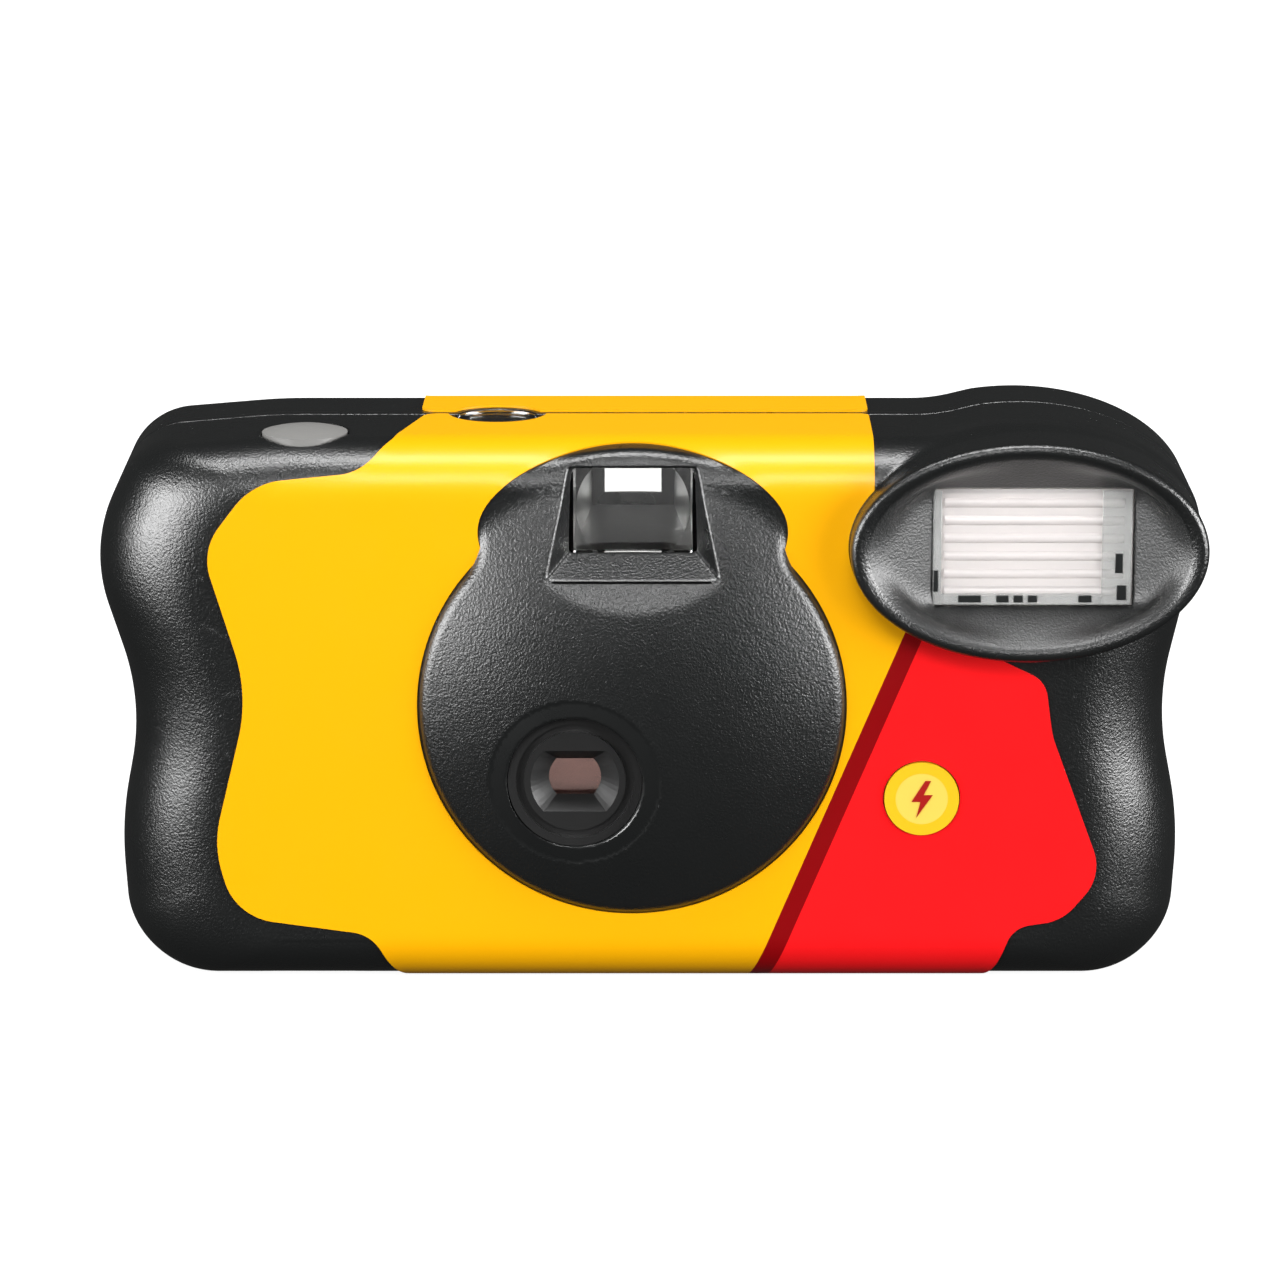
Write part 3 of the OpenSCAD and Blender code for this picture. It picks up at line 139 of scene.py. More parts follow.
class Outline:
    """Signed distance to a closed outline, kept on a grid."""

    def __init__(self, points, step=0.25, margin=5.03):
        lo, hi = points.min(0) - margin, points.max(0) + margin
        self.lo, self.step = lo, step
        gx, gz = np.arange(lo[0], hi[0], step), np.arange(lo[1], hi[1], step)
        X, Z = [g.astype(np.float32) for g in np.meshgrid(gx, gz, indexing="ij")]
        best = np.full(X.shape, 1e9, np.float32)
        odd = np.zeros(X.shape, bool)
        for p, q in zip(points, np.roll(points, -1, 0)):
            e = q - p
            ee = float(e @ e)
            if ee < 1e-12:
                continue
            px, pz = X - np.float32(p[0]), Z - np.float32(p[1])
            t = np.clip((px * e[0] + pz * e[1]) / ee, 0, 1)
            best = np.minimum(best, (px - t * e[0]) ** 2 + (pz - t * e[1]) ** 2)
            if abs(e[1]) > 1e-9:
                span = (Z >= min(p[1], q[1])) & (Z < max(p[1], q[1]))
                odd ^= span & (X < p[0] + (Z - p[1]) * e[0] / e[1])
        self.d = np.where(odd, -1, 1) * np.sqrt(best)

    def __call__(self, x, z):
        """Cubic lookup, so that the slope is continuous."""
        u = np.clip((x - self.lo[0]) / self.step, 1, self.d.shape[0] - 3.001)
        v = np.clip((z - self.lo[1]) / self.step, 1, self.d.shape[1] - 3.001)
        i, j = u.astype(np.int32), v.astype(np.int32)
        wu, wv = self.weights(u - i), self.weights(v - j)
        out = 0
        for a in range(4):
            row = 0
            for b in range(4):
                row = row + wv[b] * self.d[i + a - 1, j + b - 1]
            out = out + wu[a] * row
        return out

    @staticmethod
    def weights(t):
        t2, t3 = t * t, t * t * t
        return (-0.5 * t3 + t2 - 0.5 * t, 1.5 * t3 - 2.5 * t2 + 1,
                -1.5 * t3 + 2 * t2 + 0.5 * t, 0.5 * t3 - 0.5 * t2)


outline = Outline(body_outline())


def roll(s, depth, inset):
    """Inset of a rolled edge at the depth s, and its slope."""
    t = np.clip(1 - s / depth, 0, 1)
    c = np.sqrt(1 - t * t)
    return inset * (1 - c), inset / depth * t / np.maximum(c, 0.2)


def rolled_body(x, z, side, edge):
    """The outline drawn in by the rolls side and edge, each given as a depth and a slope."""
    sx, sz = 1 - side[0] / HALF_W, 1 - edge[0] / MID_Z
    X, Z = x / sx, MID_Z + (z - MID_Z) / sz
    share = np.clip(np.abs(Z - MID_Z) / MID_Z, 0, 1) ** 8
    slope = side[1] * (1 - share) + edge[1] * share
    return outline(X, Z) * np.minimum(sx, sz) / np.sqrt(1 + slope * slope)


def front_body(x, y, z):
    s = np.maximum(y - FRONT_Y, 0)
    d = rolled_body(x, z, roll(s, SIDE_ROLL_D, SIDE_ROLL), roll(s, EDGE_ROLL_D, EDGE_ROLL))
    return np.maximum(d, FRONT_Y - y)


def back_body(x, y, z):
    r = roll(np.maximum(BACK_Y - y, 0), BACK_ROLL, BACK_ROLL)
    return np.maximum(rolled_body(x, z, r, r), y - BACK_Y)


# The two covers
FINDER_X, FINDER_Z, FINDER_W, FINDER_H = HEAD_X, 51.6, 12.5, 8.4
FINDER_Y = FRONT_Y + 2
RECESS_Y = FRONT_Y - 3.2
WINDOW_X, WINDOW_Z, WINDOW_W, WINDOW_H = FLASH_X + 0.7, FLASH_Z - 0.3, 20.8, 12.6
WINDOW_Y = FRONT_Y - FLASH_OUT + 5
CHARGE_X, CHARGE_Z, CHARGE_R = 28.7, 20.7, 3.95
SHUTTER_X, SHUTTER_Y, SHUTTER_R = -36.4, FRONT_Y + 8, 4.5
COUNTER_X, COUNTER_Y, COUNTER_W, COUNTER_D = -16.3, SEAM_Y - 1, 8.9, 7.6
DIAL_X, DIAL_Y = -20.0, 2.325
CART_X, CART_Y, CART_R, WHEEL_Z, WHEEL_T = -36.0, BACK_Y - WALL - 13.5, 12.5, 47.2, 4.0
SLIDE_GAP = 0.15
LENS_DENT_R, LENS_DENT_D = 9.1, 0.1
CRESCENT_TILT, CRESCENT_Z, CRESCENT_OUT, CRESCENT_TOP, CRESCENT_HALF = 21.6, 41.5, 3.65, 44.6, 9.75
RECESS_LOW, RECESS_TOP, RECESS_HALF_LOW, RECESS_HALF_TOP = 44.4, 57.2, 9.6, 8.1
BOWL_RIM, BOWL_D = 1.3, 5.0
DECK_Z = 45
DOOR_Z, DOOR_GAP = 4.5, 0.5
SCOOP_R, SCOOP_HALF, SCOOP_D, SLOT_HALF, SLOT_GAP = 9.0, 4.0, 2.5, 9.0, 0.4
EYE_W, EYE_H, LAMP_X, LAMP_R = 9, 7, FINDER_X + 11, 1.7
REAR_CUT_Y = 12
SEAM_CUT = 0.04


def keyhole(x, z):
    disc = np.hypot(x - DOME_X, z - DOME_Z) - DISC_R
    return round_union(disc, oval(x - HEAD_X, z - HEAD_Z, HEAD_A, HEAD_B), 3.0)


def dome(x, y, z):
    lens = np.hypot(x - LENS_X, z - LENS_Z)
    ball = np.sqrt((x - DOME_X) ** 2 + (y - FRONT_Y + DOME_H - DOME_R) ** 2 + (z - DOME_Z) ** 2) - DOME_R
    ball = ball + LENS_DENT_D * np.clip((LENS_DENT_R - lens) / 0.3, 0, 1)
    d = round_cut(ball, keyhole(x, z), 1.1)
    # Flat crescent under the viewfinder
    tilt = math.radians(CRESCENT_TILT)
    plane = (z - CRESCENT_Z) * math.sin(tilt) - (y - FRONT_Y + CRESCENT_OUT) * math.cos(tilt)
    facet = np.maximum(np.maximum(-plane, z - CRESCENT_TOP), np.abs(x - FINDER_X) - CRESCENT_HALF)
    d = without(d, facet, 0.12)
    return np.maximum(d, y - FRONT_Y - 3.6)


def flash_housing(x, y, z):
    d = round_cut(oval(x - FLASH_X, z - FLASH_Z, FLASH_A, FLASH_B), FRONT_Y - FLASH_OUT - y, 0.9)
    return np.maximum(d, y - FRONT_Y - 7)


def bowl(x, y, z, grow=0.0):
    """Hollow from the oval rim back to the oblong window."""
    t = np.clip((y - FRONT_Y + FLASH_OUT) / BOWL_D, 0, 1.2)
    cx, cz = FLASH_X + t * (WINDOW_X - FLASH_X), FLASH_Z + t * (WINDOW_Z - FLASH_Z)
    a = FLASH_A - BOWL_RIM + t * (WINDOW_W / 2 - FLASH_A + BOWL_RIM)
    b = FLASH_B - BOWL_RIM + t * (WINDOW_H / 2 - FLASH_B + BOWL_RIM)
    n = 2 + 10 * t * t * t
    q = ((np.abs(x - cx) / a) ** n + (np.abs(z - cz) / b) ** n + 1e-9) ** (1 / n)
    return (q - 1) * b * 0.75 - grow


def recess(x, y, z, grow=0.0):
    """Tapered hollow in front of the viewfinder window."""
    t = np.clip((y - RECESS_Y) / (FINDER_Y - RECESS_Y), -0.6, 1.15)
    low = RECESS_LOW + t * (FINDER_Z - FINDER_H / 2 - RECESS_LOW)
    top = RECESS_TOP + t * (FINDER_Z + FINDER_H / 2 - RECESS_TOP)
    w_low = RECESS_HALF_LOW + t * (FINDER_W / 2 - RECESS_HALF_LOW)
    w_top = RECESS_HALF_TOP + t * (FINDER_W / 2 - RECESS_HALF_TOP)
    w = w_low + (w_top - w_low) * np.clip((z - low) / (top - low), -0.2, 1.2)
    d = np.maximum((low - z) * 0.87, (z - top) * 0.95)
    return round_cut(d, (np.abs(x - FINDER_X) - w) * 0.86, 0.35) - grow


def counter_lens(x, y, inset=0.0):
    r = (COUNTER_W ** 2 + COUNTER_D ** 2) / (4 * COUNTER_D)
    shift = r - COUNTER_D / 2
    a = np.hypot(x - COUNTER_X, y - COUNTER_Y - shift) - r
    b = np.hypot(x - COUNTER_X, y - COUNTER_Y + shift) - r
    return np.maximum(a, b) + inset


def front_cover(x, y, z):
    outer = round_union(front_body(x, y, z), dome(x, y, z), 0.4)
    outer = round_union(outer, flash_housing(x, y, z), 0.6)
    lens = np.hypot(x - LENS_X, z - LENS_Z)
    charge = np.hypot(x - CHARGE_X, z - CHARGE_Z)
    seats = np.minimum(recess(x, y, z, WALL), bowl(x, y, z, 1.2))
    seats = np.minimum(seats, lens - LENS_HOLE_R - WALL)
    collar = np.maximum(charge - CHARGE_R - 1.2, y - IN_FRONT_Y - 1)
    seats = np.minimum(np.maximum(seats, y - IN_FRONT_Y), collar)
    hollow = np.maximum(outer + WALL, -seats)
    d = np.maximum(outer, -hollow)
    d = without(d, np.maximum(recess(x, y, z), y - FINDER_Y), 0.3)
    d = without(d, np.maximum(rect(x, z, FINDER_X, FINDER_Z, FINDER_W, FINDER_H), y - IN_FRONT_Y - 4), 0.15)
    d = without(d, np.maximum(bowl(x, y, z), y - WINDOW_Y), 0.5)
    d = without(d, np.maximum(rect(x, z, WINDOW_X, WINDOW_Z, WINDOW_W, WINDOW_H), y - WINDOW_Y - 3), 0.2)
    d = without(d, lens - LENS_HOLE_R, 0.3)
    d = without(d, np.maximum(charge - CHARGE_R - SLIDE_GAP, y - IN_FRONT_Y - 3), 0.25)
    shutter = np.hypot(x - SHUTTER_X, y - SHUTTER_Y)
    d = without(d, np.maximum(shutter - SHUTTER_R - SLIDE_GAP, DECK_Z - z), 0.3)
    d = without(d, np.maximum(counter_lens(x, y), DECK_Z - z), 0.2)
    d = without(d, np.maximum(np.hypot(x - CART_X, y - CART_Y) - CART_R - DOOR_GAP, z - DOOR_Z), 0.2)
    return round_cut(d, y - SEAM_Y + SEAM_CUT, 0.25)


def scoop(x, y, z, r=SCOOP_R):
    """Thumb hollow around the wheel."""
    dx = np.maximum(np.abs(x - CART_X) - SCOOP_HALF, 0)
    return np.sqrt(dx ** 2 + (y - BACK_Y + SCOOP_D - SCOOP_R) ** 2 + (z - WHEEL_Z - WHEEL_T / 2) ** 2) - r


def rear_cover(x, y, z):
    outer = back_body(x, y, z)
    hollow = np.maximum(outer + WALL, -scoop(x, y, z, SCOOP_R + WALL))
    d = np.maximum(outer, -hollow)
    d = without(d, scoop(x, y, z), 0.9)
    slot = block(x, y, z, (CART_X - SLOT_HALF, 8, WHEEL_Z - SLOT_GAP),
                 (CART_X + SLOT_HALF, BACK_Y + 5, WHEEL_Z + WHEEL_T + SLOT_GAP))
    d = without(d, slot, 0.25)
    d = without(d, np.maximum(rect(x, z, FINDER_X, FINDER_Z, EYE_W, EYE_H), REAR_CUT_Y - y), 0.3)
    d = without(d, np.maximum(np.hypot(x - LAMP_X, z - FINDER_Z) - LAMP_R, REAR_CUT_Y - y), 0.2)
    d = without(d, np.maximum(counter_lens(x, y), DECK_Z - z), 0.2)
    d = without(d, np.maximum(np.hypot(x - CART_X, y - CART_Y) - CART_R - DOOR_GAP, z - DOOR_Z), 0.2)
    d = np.maximum(d, -np.maximum(np.hypot(x - CART_X, y - CART_Y) - CART_R - 0.25, np.abs(z - 24) - 22))
    return round_cut(d, SEAM_Y + SEAM_CUT - y, 0.25)


# Meshes from distance fields
EDGES = [((0, 0, 0), (1, 0, 0)), ((0, 1, 0), (1, 1, 0)), ((0, 0, 1), (1, 0, 1)), ((0, 1, 1), (1, 1, 1)),
         ((0, 0, 0), (0, 1, 0)), ((1, 0, 0), (1, 1, 0)), ((0, 0, 1), (0, 1, 1)), ((1, 0, 1), (1, 1, 1)),
         ((0, 0, 0), (0, 0, 1)), ((1, 0, 0), (1, 0, 1)), ((0, 1, 0), (0, 1, 1)), ((1, 1, 0), (1, 1, 1))]
CORNERS = [(a, b, c) for a in (0, 1) for b in (0, 1) for c in (0, 1)]
SLAB = 16


def surface_net(field, low, high, h):
    """Points and quads of the zero surface of a field inside a box, on a grid of pitch h."""
    axes = [np.arange(a, b + h, h, dtype=np.float32) for a, b in zip(low, high)]
    F = np.empty([len(a) for a in axes], np.float32)
    Y, Z = np.meshgrid(axes[1], axes[2], indexing="ij")
    for i in range(0, len(axes[0]), SLAB):
        xs = axes[0][i:i + SLAB]
        shape = (len(xs),) + Y.shape
        F[i:i + SLAB] = field(*[np.broadcast_to(a, shape) for a in (xs[:, None, None], Y, Z)])
    inside = F < 0
    n = np.array(F.shape) - 1
    count = sum(inside[a:a + n[0], b:b + n[1], c:c + n[2]].astype(np.uint8) for a, b, c in CORNERS)
    cells = np.argwhere((count > 0) & (count < 8))
    ids = np.full(n, -1, np.int64)
    ids[tuple(cells.T)] = np.arange(len(cells))
    total, hits = np.zeros((len(cells), 3)), np.zeros(len(cells))
    for p, q in EDGES:
        a, b = F[tuple((cells + p).T)], F[tuple((cells + q).T)]
        cross = (a < 0) != (b < 0)
        t = np.where(cross, a / np.where(cross, a - b, 1), 0)
        total[cross] += (np.array(p) + t[:, None] * (np.array(q) - np.array(p)))[cross]
        hits += cross
    points = (cells + total / hits[:, None]) * h + np.array([a[0] for a in axes])
    quads = []
    for k in range(3):
        u, v = [(1, 2), (2, 0), (0, 1)][k]
        head = [slice(1, -1)] * 3
        tail = [slice(1, -1)] * 3
        head[k], tail[k] = slice(0, -1), slice(1, None)
        first, second = inside[tuple(head)], inside[tuple(tail)]
        for way in (True, False):
            at = np.argwhere((first == way) & (second != way))
            base = np.ones(3, int)
            base[k] = 0
            at = at + base
            du, dv = np.zeros(3, int), np.zeros(3, int)
            du[u], dv[v] = 1, 1
            ring = [at - du - dv, at - dv, at, at - du]
            quad = np.stack([ids[tuple(r.T)] for r in ring], 1)
            quads.append(quad if way else quad[:, ::-1])
    return points, np.concatenate(quads)


def slope_of(field, p, e=0.03):
    """Gradient of a field at points p."""
    p = p.astype(np.float64)
    g = [field(*(p + e * np.eye(3)[k]).T) - field(*(p - e * np.eye(3)[k]).T) for k in range(3)]
    return np.stack(g, 1) / (2 * e)


def settle(field, p, h, rounds=3):
    """Moves points onto the zero surface, each by no more than the pitch h."""
    start = p
    for _ in range(rounds):
        g = slope_of(field, p)
        move = field(*p.astype(np.float64).T)[:, None] * g / np.maximum((g * g).sum(1, keepdims=True), 0.05)
        size = np.linalg.norm(move, axis=1, keepdims=True)
        p = p - move * np.minimum(1, 0.4 * h / np.maximum(size, 1e-9))
    move = p - start
    return start + move * np.minimum(1, h / np.maximum(np.linalg.norm(move, axis=1, keepdims=True), 1e-9))


def thin_out(points, quads, share):
    """Points and triangles of a mesh brought down to a share of its faces."""
    mesh = bpy.data.meshes.new("thin_out")
    mesh.from_pydata(points.tolist(), [], quads.tolist())
    ob = bpy.data.objects.new("thin_out", mesh)
    bpy.context.collection.objects.link(ob)
    mod = ob.modifiers.new("thin", "DECIMATE")
    mod.ratio = share
    done = ob.evaluated_get(bpy.context.evaluated_depsgraph_get()).to_mesh()
    done.calc_loop_triangles()
    co = np.empty(len(done.vertices) * 3)
    done.vertices.foreach_get("co", co)
    tri = np.empty(len(done.loop_triangles) * 3, np.int32)
    done.loop_triangles.foreach_get("vertices", tri)
    bpy.data.objects.remove(ob)
    bpy.data.meshes.remove(mesh)
    return co.reshape(-1, 3), tri.reshape(-1, 3)


def make_object(name, points, faces, normals=None):
    mesh = bpy.data.meshes.new(name)
    mesh.from_pydata((np.asarray(points) * MM).tolist(), [], [list(f) for f in faces])
    mesh.validate()
    mesh.shade_smooth()
    if normals is not None:
        mesh.normals_split_custom_set_from_vertices(normals.tolist())
    ob = bpy.data.objects.new(name, mesh)
    bpy.context.collection.objects.link(ob)
    return ob


def field_object(name, field, low, high, h, share):
    p, q = surface_net(field, low, high, h)
    p = settle(field, p, h)
    p, tri = thin_out(p, q, share)
    p = settle(field, p, h, 2)
    g = slope_of(field, p)
    g /= np.maximum(np.linalg.norm(g, axis=1, keepdims=True), 1e-9)
    return make_object(name, p, tri, g)


# Paper labels: sheets in the front view, lifted onto the covers and over their rolled edges
def left(d):
    return -HALF_W + d


def right(d):
    return HALF_W - d


# Corners below the top edge, as x, height and radius
FRONT_LABEL = [
    (FLASH_X - 16.1, FLASH_Z + 2, 0), (FLASH_X - 15, FLASH_Z - 2, 0), (FLASH_X - 6.5, FLASH_Z - 10.3, 0),
    (right(16.9), 33.4, 3), (right(16.1), 27.5, 10), (right(10.5), 12.2, 5), (right(14.7), 7.2, 5),
    (right(19.9), 6.4, 3), (right(22.9), 0.3, 0), (left(32.6), 0.3, 0), (left(29), 5.6, 4), (left(14.5), 7.6, 7),
    (left(12.3), 15.5, 12), (left(16.3), 32, 18), (left(11.6), BODY_H - 11, 6), (left(17), BODY_H - 3.9, 7),
    (left(28.5), BODY_H - 2.9, 5)]
REAR_LABEL = [
    (right(35.1), BODY_H - 12, 4), (right(12), BODY_H - 14, 8), (right(14), 28.8, 20), (right(11), 9, 8),
    (right(22.9), 0.3, 0), (left(32.6), 0.3, 0), (left(12), 8.5, 8), (left(15), 28.8, 20),
    (left(12.5), BODY_H - 16, 8), (left(34.4), BODY_H - 14, 6)]
LABEL_RIGHT = right(35.1)
LABEL_GAP, COUNTER_GAP, LABEL_STEP = 0.12, 0.75, 0.7


def resampled(loop, step):
    """Points along a closed loop, about one step apart, that keep its corners."""
    out = []
    for p, q in zip(loop, np.roll(loop, -1, 0)):
        n = max(1, int(math.ceil(np.hypot(*(q - p)) / step)))
        out.extend(p + (q - p) * i / n for i in range(n))
    return np.array(out)


class Wrap:
    """Carries label points (across, along) onto a cover: along is the height on the flat face, and runs on as
    length over the rolled edges and the flat top."""

    def __init__(self, face_y, way, roll_d, roll_h, seam_y):
        self.face_y, self.way, self.roll_d, self.roll_h, self.seam_y = face_y, way, roll_d, roll_h, seam_y
        t = np.linspace(0, math.pi / 2, 400)
        y, z = roll_d * (1 - np.cos(t)), roll_h * np.sin(t)
        self.t, self.arc = t, np.concatenate([[0], np.cumsum(np.hypot(np.diff(y), np.diff(z)))])
        self.top = BODY_H - roll_h
        self.end = self.top + self.arc[-1] + abs(seam_y - face_y) - roll_d

    def along(self, z):
        """Length of a height seen from the front."""
        up = np.interp(np.arcsin(np.clip((z - self.top) / self.roll_h, 0, 1)), self.t, self.arc)
        down = np.interp(np.arcsin(np.clip((self.roll_h - z) / self.roll_h, 0, 1)), self.t, self.arc)
        return np.where(z > self.top, self.top + up, np.where(z < self.roll_h, self.roll_h - down, z))

    def place(self, x, v, off):
        """Points in space of label points, lifted off the cover by off."""
        over = np.clip(v - self.top, 0, self.arc[-1])
        under = np.clip(self.roll_h - v, 0, self.arc[-1])
        a = np.interp(over, self.arc, self.t)
        b = np.interp(under, self.arc, self.t)
        ang = np.where(v > MID_Z, a, b)
        up = np.where(v > MID_Z, 1.0, -1.0)
        deep = self.roll_d * (1 - np.cos(ang)) + np.maximum(v - self.top - self.arc[-1], 0)
        rolled = MID_Z + up * (MID_Z - self.roll_h + self.roll_h * np.sin(ang))
        z = np.where((v > self.top) | (v < self.roll_h), rolled, v)
        ny, nz = np.cos(ang) * self.roll_h, np.sin(ang) * self.roll_d
        size = np.hypot(ny, nz)
        y = self.face_y + self.way * (deep - off * ny / size)
        return np.stack([x, y, z + up * off * nz / size], 1)


def in_loop(points, loop):
    inside = np.zeros(len(points), bool)
    for p, q in zip(loop, np.roll(loop, -1, 0)):
        if abs(p[1] - q[1]) < 1e-12:
            continue
        span = (points[:, 1] >= min(p[1], q[1])) & (points[:, 1] < max(p[1], q[1]))
        inside ^= span & (points[:, 0] < p[0] + (points[:, 1] - p[1]) * (q[0] - p[0]) / (q[1] - p[1]))
    return inside


def label_sheet(name, wrap, loops, keep, grid=1.0, thick=LABEL_T, foot=0.02):
    """A thin closed sheet: loops bound it in label coordinates, and keep tells which points belong to it."""
    pts, edges = [], []
    for loop in loops:
        n = len(pts)
        pts.extend(loop.tolist())
        edges.extend((n + i, n + (i + 1) % len(loop)) for i in range(len(loop)))
    allp = np.array(pts)
    lo, hi = allp.min(0), allp.max(0)
    gx, gv = np.meshgrid(np.arange(lo[0], hi[0], grid), np.arange(lo[1], hi[1], grid))
    cand = np.stack([gx.ravel(), gv.ravel()], 1)
    near = np.full(len(cand), 1e9)
    for i in range(0, len(allp), 200):
        part = allp[i:i + 200]
        near = np.minimum(near, np.sqrt(((cand[:, None] - part[None]) ** 2).sum(2)).min(1))
    cand = cand[(near > 0.45 * grid) & keep(cand)]
    verts = [Vector(p) for p in pts] + [Vector(p) for p in cand]
    co, _, faces, *_ = delaunay_2d_cdt(verts, edges, [], 0, 1e-6)
    co = np.array([tuple(c) for c in co])
    faces = np.array([f for f in faces if len(f) == 3])
    faces = faces[keep(co[faces].mean(1))]
    used, faces = np.unique(faces, return_inverse=True)
    co, faces = co[used], faces.reshape(-1, 3)
    a, b = co[faces[:, 1]] - co[faces[:, 0]], co[faces[:, 2]] - co[faces[:, 0]]
    flip = (a[:, 0] * b[:, 1] - a[:, 1] * b[:, 0]) * wrap.way < 0
    faces[flip] = faces[flip][:, ::-1]
    top, low = wrap.place(co[:, 0], co[:, 1], thick), wrap.place(co[:, 0], co[:, 1], foot)
    half = np.sort(faces[:, [0, 1, 1, 2, 2, 0]].reshape(-1, 2), 1)
    uniq, cnt = np.unique(half, axis=0, return_counts=True)
    rim = {tuple(e) for e in uniq[cnt == 1]}
    n = len(co)
    out = [tuple(f) for f in faces] + [tuple(n + f[::-1]) for f in faces]
    for f in faces:
        for i in range(3):
            p, q = f[i], f[(i + 1) % 3]
            if (min(p, q), max(p, q)) in rim:
                out.append((q, p, n + p, n + q))
    ob = make_object(name, np.concatenate([top, low]), out)
    ob.data.set_sharp_from_angle(angle=math.radians(40))
    return ob


def ring_of(x, z, a, b, n=72):
    """Points around an oval."""
    t = np.linspace(0, 2 * math.pi, n, endpoint=False)
    return np.stack([x + a * np.cos(t), z + b * np.sin(t)], 1)


# Materials
def material(name, color, rough, **more):
    mat = bpy.data.materials.new(name)
    mat.use_nodes = True
    b = mat.node_tree.nodes["Principled BSDF"]
    b.inputs["Base Color"].default_value = (*color, 1)
    b.inputs["Roughness"].default_value = rough
    for key, value in more.items():
        b.inputs[key.replace("_", " ")].default_value = value
    return mat


def shader(mat):
    return mat.node_tree.nodes["Principled BSDF"]


def add(mat, kind, **values):
    n = mat.node_tree.nodes.new(kind)
    for key, value in values.items():
        if key in n.inputs:
            n.inputs[key].default_value = value
        else:
            setattr(n, key, value)
    return n


def calc(mat, op, a, b=0.0):
    n = add(mat, "ShaderNodeMath", operation=op)
    for k, v in enumerate((a, b)):
        if isinstance(v, (int, float)):
            n.inputs[k].default_value = v
        else:
            mat.node_tree.links.new(v, n.inputs[k])
    return n.outputs[0]


def axes_of(mat):
    split = add(mat, "ShaderNodeSeparateXYZ")
    mat.node_tree.links.new(add(mat, "ShaderNodeTexCoord").outputs["Object"], split.inputs[0])
    return split.outputs


def noise_of(mat, size, detail=2.0):
    """Noise whose features are about so many millimetres across."""
    noise = add(mat, "ShaderNodeTexNoise", Scale=1000.0 / size, Detail=detail, Roughness=0.6)
    mat.node_tree.links.new(add(mat, "ShaderNodeTexCoord").outputs["Object"], noise.inputs["Vector"])
    return noise.outputs["Fac"]


def between(mat, value, low, high):
    """The value, taken from 0..1 to low..high."""
    n = add(mat, "ShaderNodeMapRange")
    n.inputs["To Min"].default_value, n.inputs["To Max"].default_value = low, high
    mat.node_tree.links.new(value, n.inputs["Value"])
    return n.outputs["Result"]


def surface(mat, size, height, strength=1.0, rough=None, patch=6.0, mask=None):
    """Fine relief of a size and a height in millimetres, and roughness that wanders over wider patches."""
    links = mat.node_tree.links
    bump = add(mat, "ShaderNodeBump", Strength=strength, Distance=height * MM)
    links.new(noise_of(mat, size), bump.inputs["Height"])
    if mask is not None:
        links.new(mask, bump.inputs["Strength"])
    links.new(bump.outputs["Normal"], shader(mat).inputs["Normal"])
    if rough:
        links.new(between(mat, noise_of(mat, patch), *rough), shader(mat).inputs["Roughness"])
    return mat


def mixed(mat, factor, a, b):
    """One of two colours, or of colour outputs, by a factor."""
    n = add(mat, "ShaderNodeMix", data_type="RGBA")
    mat.node_tree.links.new(factor, n.inputs[0])
    for socket, v in ((n.inputs[6], a), (n.inputs[7], b)):
        if isinstance(v, tuple):
            socket.default_value = (*v, 1)
        else:
            mat.node_tree.links.new(v, socket)
    return n.outputs[2]


def far_from(mat, x, z, x0, z0):
    dx, dz = calc(mat, "SUBTRACT", x, x0 * MM), calc(mat, "SUBTRACT", z, z0 * MM)
    return calc(mat, "SQRT", calc(mat, "ADD", calc(mat, "MULTIPLY", dx, dx), calc(mat, "MULTIPLY", dz, dz)))


YELLOW, RED, DARK_RED = (0.66, 0.305, 0.0), (0.64, 0.0055, 0.0075), (0.17, 0.0, 0.001)
BUTTON_RIM, BUTTON_DISC, BUTTON_DISC_R = (0.6, 0.36, 0.01), (0.62, 0.43, 0.07), 2.75
DIAL_WHITE, DIAL_INK = (0.8, 0.8, 0.79), (0.03, 0.03, 0.03)
DIAL_TICKS, TICK_SHARE, TICK_IN, TICK_OUT = 40, 0.22, 4.4, 5.8
# The red field starts where x - FIELD_SLANT * z passes FIELD_X, and its stripe at STRIPE_X
FIELD_SLANT, FIELD_X, STRIPE_X = 0.42, 12.6, 10.5
SMOOTH_R = 9.05
ACRYLIC = 1.49


def cover_material():
    mat = material("cover_black", (0.005, 0.0055, 0.0055), 0.34, Specular_IOR_Level=0.95)
    x, _, z = axes_of(mat)
    # Grain everywhere but on the smooth dent around the lens
    mask = calc(mat, "GREATER_THAN", far_from(mat, x, z, LENS_X, LENS_Z), SMOOTH_R * MM)
    surface(mat, 0.26, 0.075, mask=calc(mat, "MULTIPLY", mask, 0.8))
    # The flash bowl is duller than the rest
    squashed = calc(mat, "MULTIPLY", x, FLASH_B / FLASH_A)
    from_flash = far_from(mat, squashed, z, FLASH_X * FLASH_B / FLASH_A, FLASH_Z)
    dull = calc(mat, "LESS_THAN", from_flash, (FLASH_B - 1.2) * MM)
    rough = calc(mat, "ADD", between(mat, noise_of(mat, 6.0), 0.25, 0.31), calc(mat, "MULTIPLY", dull, 0.12))
    mat.node_tree.links.new(rough, shader(mat).inputs["Roughness"])
    return mat


